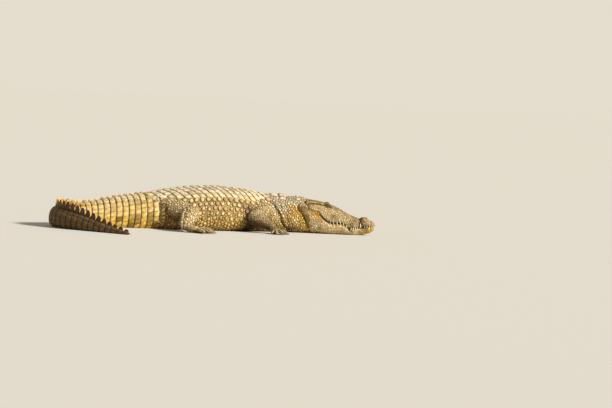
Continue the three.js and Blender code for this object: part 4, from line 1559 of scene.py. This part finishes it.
def head_coat(skin):
    """Worn irregular bumps on the snout and skull, upright tiles on the pleats of the jaw."""
    upper = Sheet(head_surface, 6, HEAD_LENGTH)
    lower = Sheet(jaw_surface, CHIN + 8, JAW_LENGTH - 10)
    left_half, right_half = [0, 0, 0.5, 1], [0.5, 0, 0.5, 1]

    def to_lip(s):
        return upper.half_girth(s) - 9

    def jaw_lip(s):
        return lower.half_girth(s) - 12

    def jaw_side(s):
        return lower.half_girth(s) * 0.42

    top = scatter(24, 655, middle_line, to_lip, (20, 16, 12, 9), 2.6, 51)
    pleats = field(210, 520, jaw_side, jaw_lip, PLEAT, 34, 1.2, 53, 0.03, False)
    front = scatter(40, 210, jaw_side, jaw_lip, (16, 12, 9), 1.4, 54)
    cheek = scatter(524, 640, jaw_side, jaw_lip, (22, 17, 13, 10), 2.4, 56)
    lobe_scales = scatter(640, 776, jaw_side, jaw_lip, (15, 12, 9), 1.8, 57)
    rear = crowd(cheek, lobe_scales)
    chin = field(60, 600, middle_line, jaw_side, 30, 29, 1.6, 55, 0.05)
    faint = (0.7, 0.7)
    join_pieces("head_scales", [
        lay(skin, "cobble", upper, crowd(top), left_half, 61, 24, faint),
        tint(lay(skin, "tile", lower, pleats, right_half, 63, seams=(0.9, 0)), tone=0.55),
        lay(skin, "cobble", lower, crowd(front), right_half, 64, seams=faint),
        lay(skin, "cobble", lower, rear, right_half, 66, seams=faint),
        lay(skin, "tile", lower, chin, right_half, 65),
    ])


# ---- Eyes, teeth and claws -----------------------------------------------------------------


def eyeball(side, name):
    middle, back, up, out = eye_frame(side)
    bm = bmesh.new()
    bmesh.ops.create_uvsphere(bm, u_segments=36, v_segments=24, radius=1)
    local = np.array([vert.co for vert in bm.verts])
    # The poles face in and out, and the cornea stands a little proud of the ball.
    bulge = 1 + 0.06 * smooth_step(0.72, 1, local[:, 2])
    radius = EYE["radius"] - 1.5
    ball_round = back * local[:, :1] + up * local[:, 1:2] + out * local[:, 2:]
    points = middle + ball_round * (radius * bulge)[:, None]
    for vert, point in zip(bm.verts, points):
        vert.co = point * MM
    bmesh.ops.recalc_face_normals(bm, faces=bm.faces)
    piece = new_object(name, bm)
    layer = piece.data.attributes.new("gaze", "FLOAT_VECTOR", "POINT")
    layer.data.foreach_set("vector", local.astype(np.float32).ravel())
    return piece


def lid_edge(side, is_upper):
    """A fleshy rim along one edge of the eye's opening."""
    middle, back, up, out = eye_frame(side)
    height = SLIT["up"] if is_upper else -SLIT["down"]
    thick = 4.6 if is_upper else 3.2

    def surface(x, turn):
        rise = (1 - x * x) * height * 0.9 - 4 * x * x
        rise = rise + (2.2 if is_upper else -1.6) * (1 - x * x)
        reach = EYE["radius"] + 4.5
        a = x * (SLIT["length"] + 3)
        c = np.sqrt(np.maximum(reach ** 2 - (a * 0.62) ** 2 - rise ** 2, 0))
        radius = thick * np.sqrt(np.clip(1.03 - x * x, 0.03, 1))
        angle = turn * np.pi
        line = middle + back * a[:, None] + up * rise[:, None] + out * c[:, None]
        wide = up * (np.cos(angle) * radius)[:, None]
        return line + wide + out * (np.sin(angle) * radius * 0.8)[:, None]

    return rolled(surface, -1, 1, 30, 12)


def tooth(u, length, inside, side, way, other_lip):
    radius = length * TOOTH["slimness"]
    offset = side * (float(read(other_lip, u)) + radius + TOOTH["clearance"] - inside)
    foot = float(read(MOUTH_LINE, u)) - way * TOOTH["root"]
    tall = length + TOOTH["root"]

    def surface(t, turn):
        r = radius * np.sqrt(np.clip(1 - t ** 1.7, 0.004, 1))
        angle = turn * np.pi
        curve = 0.12 * tall * t * t
        x = u + r * np.cos(angle) + curve * 0.5
        y = offset + r * np.sin(angle) * 0.9 - side * curve * 0.6
        return on_head(x, y, foot + way * t * tall)

    return rolled(surface, 0, 1, 10, 12)


def teeth():
    rows = [(row, 1, LIP_WIDTH) for row in LOWER_TEETH]
    rows += [(row, -1, JAW_WIDTH) for row in UPPER_TEETH]
    solids = [tooth(*row, side, way, lip) for row, way, lip in rows for _, side in SIDES]
    return new_object("teeth", merged(solids))


def claw(limb, side, row):
    root, way, across, reach, radius = toe_line(limb, side, row)
    start = root + way * (reach + GAP - CLAW["seat"])

    def surface(t, turn):
        past = np.clip(t, 0, 1)
        full = radius * 0.6 * np.where(past < 0.2, 0.82 + 0.9 * past, 1.0)
        r = full * (1 - past ** 1.15 * (1 - CLAW["point"] * 0.4))
        high = radius * 0.72 * (1 - CLAW["droop"] * past * past)
        angle = turn * np.pi
        point = start + way * (t * (CLAW["length"] + CLAW["seat"]))[:, None]
        point = point + across * (np.cos(angle) * r * 0.8)[:, None]
        point[:, 2] = np.maximum(high + np.sin(angle) * r, 1)
        return point

    return rolled(surface, 0, 1, 14, 14)


def claws():
    """Curved claws on the inner three toes of each foot, named as the part's are."""
    made = []
    for limb, toes, _, _, foot in LIMBS:
        for word, side in SIDES:
            for k, row in enumerate([row for row in toes if row[3]]):
                name = f"{foot}_claw_{word}_{k + 1}"
                made.append([new_object(f"{name}_horn", claw(limb, side, row)), name])
    return made


# ---- Materials -----------------------------------------------------------------------------


def colour(text):
    """A linear colour from a hex one."""
    channels = [int(text[i:i + 2], 16) / 255 for i in (1, 3, 5)]
    linear = [c / 12.92 if c <= 0.04045 else ((c + 0.055) / 1.055) ** 2.4 for c in channels]
    return (*linear, 1)


def node(tree, kind, settings=None, links=None):
    """Adds a node; a setting is one of its inputs, by name or number, or a property."""
    made = tree.nodes.new(kind)
    for name, value in (settings or {}).items():
        if isinstance(name, int) or name in made.inputs:
            made.inputs[name].default_value = value
        else:
            setattr(made, name, value)
    for name, source in (links or {}).items():
        tree.links.new(source, made.inputs[name])
    return made


def feed(tree, made, inputs):
    """Gives each of a node's inputs a value, or links a socket to it."""
    for key, value in inputs.items():
        if isinstance(value, bpy.types.NodeSocket):
            tree.links.new(value, made.inputs[key])
        else:
            made.inputs[key].default_value = value


MIX_A, MIX_B, MIX_OUT = 6, 7, 2  # the colour sockets of a Mix node


def start_material(name, roughness, ior, **shader):
    material = bpy.data.materials.new(name)
    material.use_nodes = True
    tree = material.node_tree
    tree.nodes.clear()
    settings = {"Roughness": roughness, "IOR": ior}
    settings.update({key.replace("_", " "): value for key, value in shader.items()})
    principled = node(tree, "ShaderNodeBsdfPrincipled", settings)
    node(tree, "ShaderNodeOutputMaterial", links={"Surface": principled.outputs[0]})
    return material, tree, principled


def mix(tree, blend, factor, a, b):
    """Mixes two colours; each of the three may be a value or a socket."""
    made = node(tree, "ShaderNodeMix", {"data_type": "RGBA", "blend_type": blend})
    feed(tree, made, {0: factor, MIX_A: a, MIX_B: b})
    return made.outputs[MIX_OUT]


def mix_value(tree, operation, a, b):
    """One step of arithmetic on two values or sockets."""
    made = node(tree, "ShaderNodeMath", {"operation": operation})
    feed(tree, made, {0: a, 1: b})
    return made.outputs[0]


def ramp(tree, source, low, high):
    made = node(tree, "ShaderNodeMapRange", {"From Min": low, "From Max": high}, {"Value": source})
    return made.outputs[0]


def stored(tree, name):
    return node(tree, "ShaderNodeAttribute", {"attribute_name": name}).outputs["Fac"]


def object_place(tree):
    return node(tree, "ShaderNodeTexCoord").outputs["Object"]


def noise(tree, place, size, detail):
    """A noise with patches about this many millimetres across."""
    settings = {"Scale": 1000 / size, "Detail": detail}
    return node(tree, "ShaderNodeTexNoise", settings, {"Vector": place}).outputs[0]


def add_bump(tree, shader, height, strength, depth):
    settings = {"Strength": strength, "Distance": depth * MM}
    bumped = node(tree, "ShaderNodeBump", settings, {"Height": height})
    tree.links.new(bumped.outputs[0], shader.inputs["Normal"])


def hide(name, tones, grain, roughness, bump):
    """Dry keratin hide of a reptile: matt, mottled, darker in its seams and finely creased.

    tones are its tan, pale, warm, dark and seam colours, and grain is how far apart its finest
    cracks stand, in millimetres.
    """
    tan, pale, warm, dark, seam = (colour(text) for text in tones)
    material, tree, shader = start_material(name, roughness, 1.42)
    place = object_place(tree)
    # Mud and age stain the hide in patches about 160 mm across, and mottle it at about 25 mm.
    patches = noise(tree, place, 160, 4)
    mottle = noise(tree, place, 25, 3)
    grains = node(
        tree, "ShaderNodeTexVoronoi",
        {"feature": "DISTANCE_TO_EDGE", "Scale": 1000 / grain}, {"Vector": place},
    )
    base = mix(tree, "MIX", stored(tree, "pale"), tan, pale)
    base = mix(tree, "MIX", stored(tree, "warm"), base, warm)
    stain = ramp(tree, patches, 0.5, 0.74)
    base = mix(tree, "MIX", mix_value(tree, "MULTIPLY", stain, 0.25), base, dark)
    # The dark mark brings in dark markings and painted shade alike.
    base = mix(tree, "MIX", stored(tree, "dark"), base, dark)
    flecks = ramp(tree, mottle, 0.36, 0.66)
    duller = mix(tree, "MULTIPLY", 1.0, base, colour("#d0c3aa"))
    base = mix(tree, "MIX", flecks, duller, base)
    # No two scales are quite the same: some are browner than others.
    browner = mix(tree, "MULTIPLY", 1.0, base, colour("#c8b593"))
    base = mix(tree, "MIX", ramp(tree, stored(tree, "tone"), 0.25, 1.0), base, browner)
    cracks = ramp(tree, grains.outputs[0], 0.0, 0.07)
    deep = mix_value(tree, "MULTIPLY", mix_value(tree, "SUBTRACT", 1.0, cracks), 0.25)
    base = mix(tree, "MIX", deep, base, seam)
    base = mix(tree, "MIX", mix_value(tree, "MULTIPLY", stored(tree, "rim"), 0.9), base, seam)
    tree.links.new(base, shader.inputs["Base Color"])
    relief = mix_value(tree, "ADD", cracks, noise(tree, place, 4, 4))
    add_bump(tree, shader, relief, bump, 1.2)
    dryness = node(
        tree, "ShaderNodeMapRange",
        {"To Min": roughness - 0.1, "To Max": roughness + 0.12}, {"Value": mottle},
    )
    tree.links.new(dryness.outputs[0], shader.inputs["Roughness"])
    return material


def wet_eye():
    """A wet cornea over a brassy iris with an upright slit: clear, glossy highlights."""
    material, tree, shader = start_material(
        "wet_eye", 0.06, 1.376, Coat_Weight=1.0, Coat_Roughness=0.03,
    )
    gaze = node(tree, "ShaderNodeAttribute", {"attribute_name": "gaze"}).outputs["Vector"]
    split = node(tree, "ShaderNodeSeparateXYZ", links={0: gaze})
    x, y, z = split.outputs
    width = mix_value(tree, "ABSOLUTE", x, 0.0)
    tall = mix_value(tree, "MULTIPLY", mix_value(tree, "ABSOLUTE", y, 0.0), 0.22)
    slit = ramp(tree, mix_value(tree, "ADD", width, tall), 0.13, 0.17)
    settings = {"Scale": 9.0, "Detail": 5, "Distortion": 0.6}
    streaks = node(tree, "ShaderNodeTexNoise", settings, {"Vector": gaze})
    # Painted shade under the lids: the white of the eye is dark brown, and the brassy iris is
    # darkened too.
    iris = mix(tree, "MIX", streaks.outputs[0], colour("#4a4516"), colour("#927c36"))
    shaded_sclera = mix(tree, "MIX", ramp(tree, z, 0.42, 0.5), colour("#4a3c28"), iris)
    base = mix(tree, "MIX", slit, colour("#0b0a07"), shaded_sclera)
    tree.links.new(base, shader.inputs["Base Color"])
    return material


def worn_horn():
    """Keratin of the claws: dark brown horn, fibrous lengthwise and polished by wear."""
    material, tree, shader = start_material("worn_horn", 0.42, 1.54)
    place = object_place(tree)
    fibres = noise(tree, place, 6, 5)
    worn = ramp(tree, fibres, 0.3, 0.7)
    base = mix(tree, "MIX", worn, colour("#5b4c3a"), colour("#b9a887"))
    tree.links.new(base, shader.inputs["Base Color"])
    add_bump(tree, shader, fibres, 0.4, 0.5)
    return material


def tooth_enamel():
    """Enamel over dentine: ivory, a little glossy, stained brown in streaks."""
    material, tree, shader = start_material("tooth_enamel", 0.32, 1.63)
    place = object_place(tree)
    stains = ramp(tree, noise(tree, place, 14, 4), 0.42, 0.75)
    base = mix(tree, "MIX", stains, colour("#e6dcc2"), colour("#b59a6c"))
    tree.links.new(base, shader.inputs["Base Color"])
    return material


# ---- The whole animal ----------------------------------------------------------------------

CLAW_NODES = [name for name in NODES if "_claw_" in name]
EYE_NODES = [name for name in NODES if name.startswith("eye_")]
FLESH_NODES = [name for name in NODES if name not in CLAW_NODES + EYE_NODES]

TONES = ["#fae6b6", "#fffdf0", "#fad260", "#66491e", "#382610"]
body_hide = hide("dry_body_hide", TONES, 9, 0.72, 0.5)
scale_hide = hide("dry_scale_keratin", TONES, 14, 0.62, 0.35)
horn = worn_horn()
enamel = tooth_enamel()
eye_gloss = wet_eye()


def finish_piece(piece, material):
    piece.data.materials.clear()
    piece.data.materials.append(material)
    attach(piece, "root")
    return piece


def shows(points):
    """How much the painted shade of a crease shows on the head: not behind the corner of the
    mouth, where the jaws grow together, nor on the pale rim of the cheek.
    """
    u, z = head_distances(points)
    joined = window(u, 516, 530, 650, 664)
    return (1 - hump(z, read(MOUTH_LINE, u), 40) * joined) * (1 - cheek_rim(u, z)[1])


def mark_skin(body, head_parts, sheet):
    """Stores the marks of every place of the skin, with painted shade in its creases and where
    parts meet.
    """
    points, normals = corners(body.data), slopes(body.data)
    spots = sheet.grid[:, ::2].reshape(-1, 3) * MM
    lengths = np.repeat(sheet.along, sheet.AROUND + 1)
    shares = np.tile(np.linspace(-1, 1, sheet.AROUND + 1), len(sheet.along))
    tree = tree_of(spots)
    found = [tree.find(point) for point in points]
    nearest = np.array([index for _, index, _ in found])
    apart = np.array([distance for _, _, distance in found]) / MM
    is_limb = smooth_step(16, 36, apart)[:, None]
    # Painted shade darkens the skin round where each limb leaves the body, except on top.
    root = hump(apart, 22, 13) * smooth_step(0.6, 0.1, normals[:, 2])
    marks = body_marks(lengths[nearest], shares[nearest]) * (1 - is_limb)
    marks = marks + limb_marks(points[:, 2] / MM, normals, lengths[nearest] < BELLY) * is_limb
    whole = [body, *head_parts]
    for piece in whole:
        if piece is not body:
            marks = head_marks(corners(piece.data))
        # Painted shade darkens the creases, the broad hollows and the lines where pieces of skin
        # meet.
        rounds, depth = (8, 7) if piece is body else (10, 5)
        creases = 0.8 * hollows(piece.data, rounds, depth)
        if piece is body:
            broad_hollow_shade = 0.8 * hollows(piece.data, 40, 26)
            creases = np.maximum(creases, np.maximum(0.85 * root, broad_hollow_shade))
        others = [other for other in whole if other is not piece]
        creases = np.maximum(creases, 0.9 * meeting(piece, others, 9))
        if piece is not body:
            creases = creases * shows(corners(piece.data))
        marks[:, 2] = np.maximum(marks[:, 2], creases)
        for name, values in zip(MARKS, np.clip(marks, 0, 1).T):
            store(piece.data, name, values)
        tint(piece, rim=BARE_RIM["body" if piece is body else "head"], tone=0.5)


body_sheet = Sheet(body_surface, NECK_START, TAIL_TIP)
body = body_and_limbs()
skull, jaw = head_and_jaw()
lid_edges = [lid_edge(side, is_upper) for _, side in SIDES for is_upper in (True, False)]
lids = new_object("lids", merged(lid_edges))
mark_skin(body, [skull, jaw, lids], body_sheet)
skin_piece = join_pieces("skin", [body, skull, jaw, lids])
skin_piece.data.shade_smooth()

skin = Skin(skin_piece)
body_coat(skin, body_sheet)
limb_coat(skin)
keep_clear(skin)
head_coat(skin)
crest()

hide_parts(*FLESH_NODES)
finish_piece(skin_piece, body_hide)
for name in ("nape_scutes", "back_scutes", "flank_scales", "belly_scales", "neck_scales",
             "tail_tiles", "tail_crest", "arm_scales", "leg_scales"):
    finish_piece(bpy.data.objects[name], scale_hide)
finish_piece(bpy.data.objects["head_scales"], scale_hide)
finish_piece(teeth(), enamel)
for piece, name in claws():
    finish_piece(piece, horn)
    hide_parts(name)
for word, side in SIDES:
    piece = finish_piece(eyeball(side, f"eyeball_{word}"), eye_gloss)
    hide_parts(f"eye_{word}")

# ---- Floor, light and camera ---------------------------------------------------------------

scene = bpy.context.scene
FLOOR_SIZE = 60  # half its width, in metres
KEY = {"energy": 5.0, "angle": 8, "colour": (1.0, 0.97, 0.92), "from": (0.83, -0.37, 0.52)}
FILL = 0.26
BACKDROP = "#e5ddcd"  # the colour that the lit floor has far off, so that its end doesn't show


def studio():
    """A pale floor, a plain backdrop, soft light from ahead of the animal and a plain fill."""
    material, tree, shader = start_material("pale_studio_floor", 0.9, 1.45)
    shader.inputs["Base Color"].default_value = colour("#dcd6ca")
    bm = bmesh.new()
    bmesh.ops.create_grid(bm, x_segments=1, y_segments=1, size=FLOOR_SIZE)
    floor = new_object("floor", bm)
    floor.data.materials.append(material)
    key = bpy.data.lights.new("key", "SUN")
    key.energy = KEY["energy"]
    key.angle = math.radians(KEY["angle"])
    key.color = KEY["colour"]
    lamp = add_object("key", key)
    lamp.rotation_euler = Vector(KEY["from"]).to_track_quat("Z", "Y").to_euler()
    world = bpy.data.worlds.new("studio")
    world.use_nodes = True
    tree = world.node_tree
    tree.nodes.clear()
    path = node(tree, "ShaderNodeLightPath")
    seen = mix_value(tree, "MAXIMUM", path.outputs["Is Camera Ray"], path.outputs["Is Glossy Ray"])
    seen = mix_value(tree, "MAXIMUM", seen, path.outputs["Is Transmission Ray"])
    light = node(tree, "ShaderNodeBackground", {"Color": (1, 1, 1, 1), "Strength": FILL})
    shown = node(tree, "ShaderNodeBackground", {"Color": colour(BACKDROP), "Strength": 1.0})
    ends = {0: seen, 1: light.outputs[0], 2: shown.outputs[0]}
    both = node(tree, "ShaderNodeMixShader", links=ends)
    node(tree, "ShaderNodeOutputWorld", links={"Surface": both.outputs[0]})
    scene.world = world
    scene.view_settings.view_transform = "Standard"


CAMERA = {"target": (0.90, 0, 0.28), "height": 3.5, "distance": 24, "lens": 148.7, "roll": 2.9}


def camera():
    """A long lens from far off on the animal's right, a little above it and a little tilted."""
    rise = math.radians(CAMERA["height"])
    look = Vector((0, math.cos(rise), -math.sin(rise)))
    level = Vector((1, 0, 0))
    upright = level.cross(look)
    roll = math.radians(CAMERA["roll"])
    right = level * math.cos(roll) + upright * math.sin(roll)
    up = upright * math.cos(roll) - level * math.sin(roll)
    lens = bpy.data.cameras.new("camera")
    lens.lens = CAMERA["lens"]
    lens.sensor_width = 36
    lens.clip_end = 200
    eye = add_object("camera", lens)
    place = Vector(CAMERA["target"]) - look * CAMERA["distance"]
    eye.matrix_world = Matrix((right, up, -look)).transposed().to_4x4()
    eye.matrix_world.translation = place
    scene.camera = eye


studio()
camera()
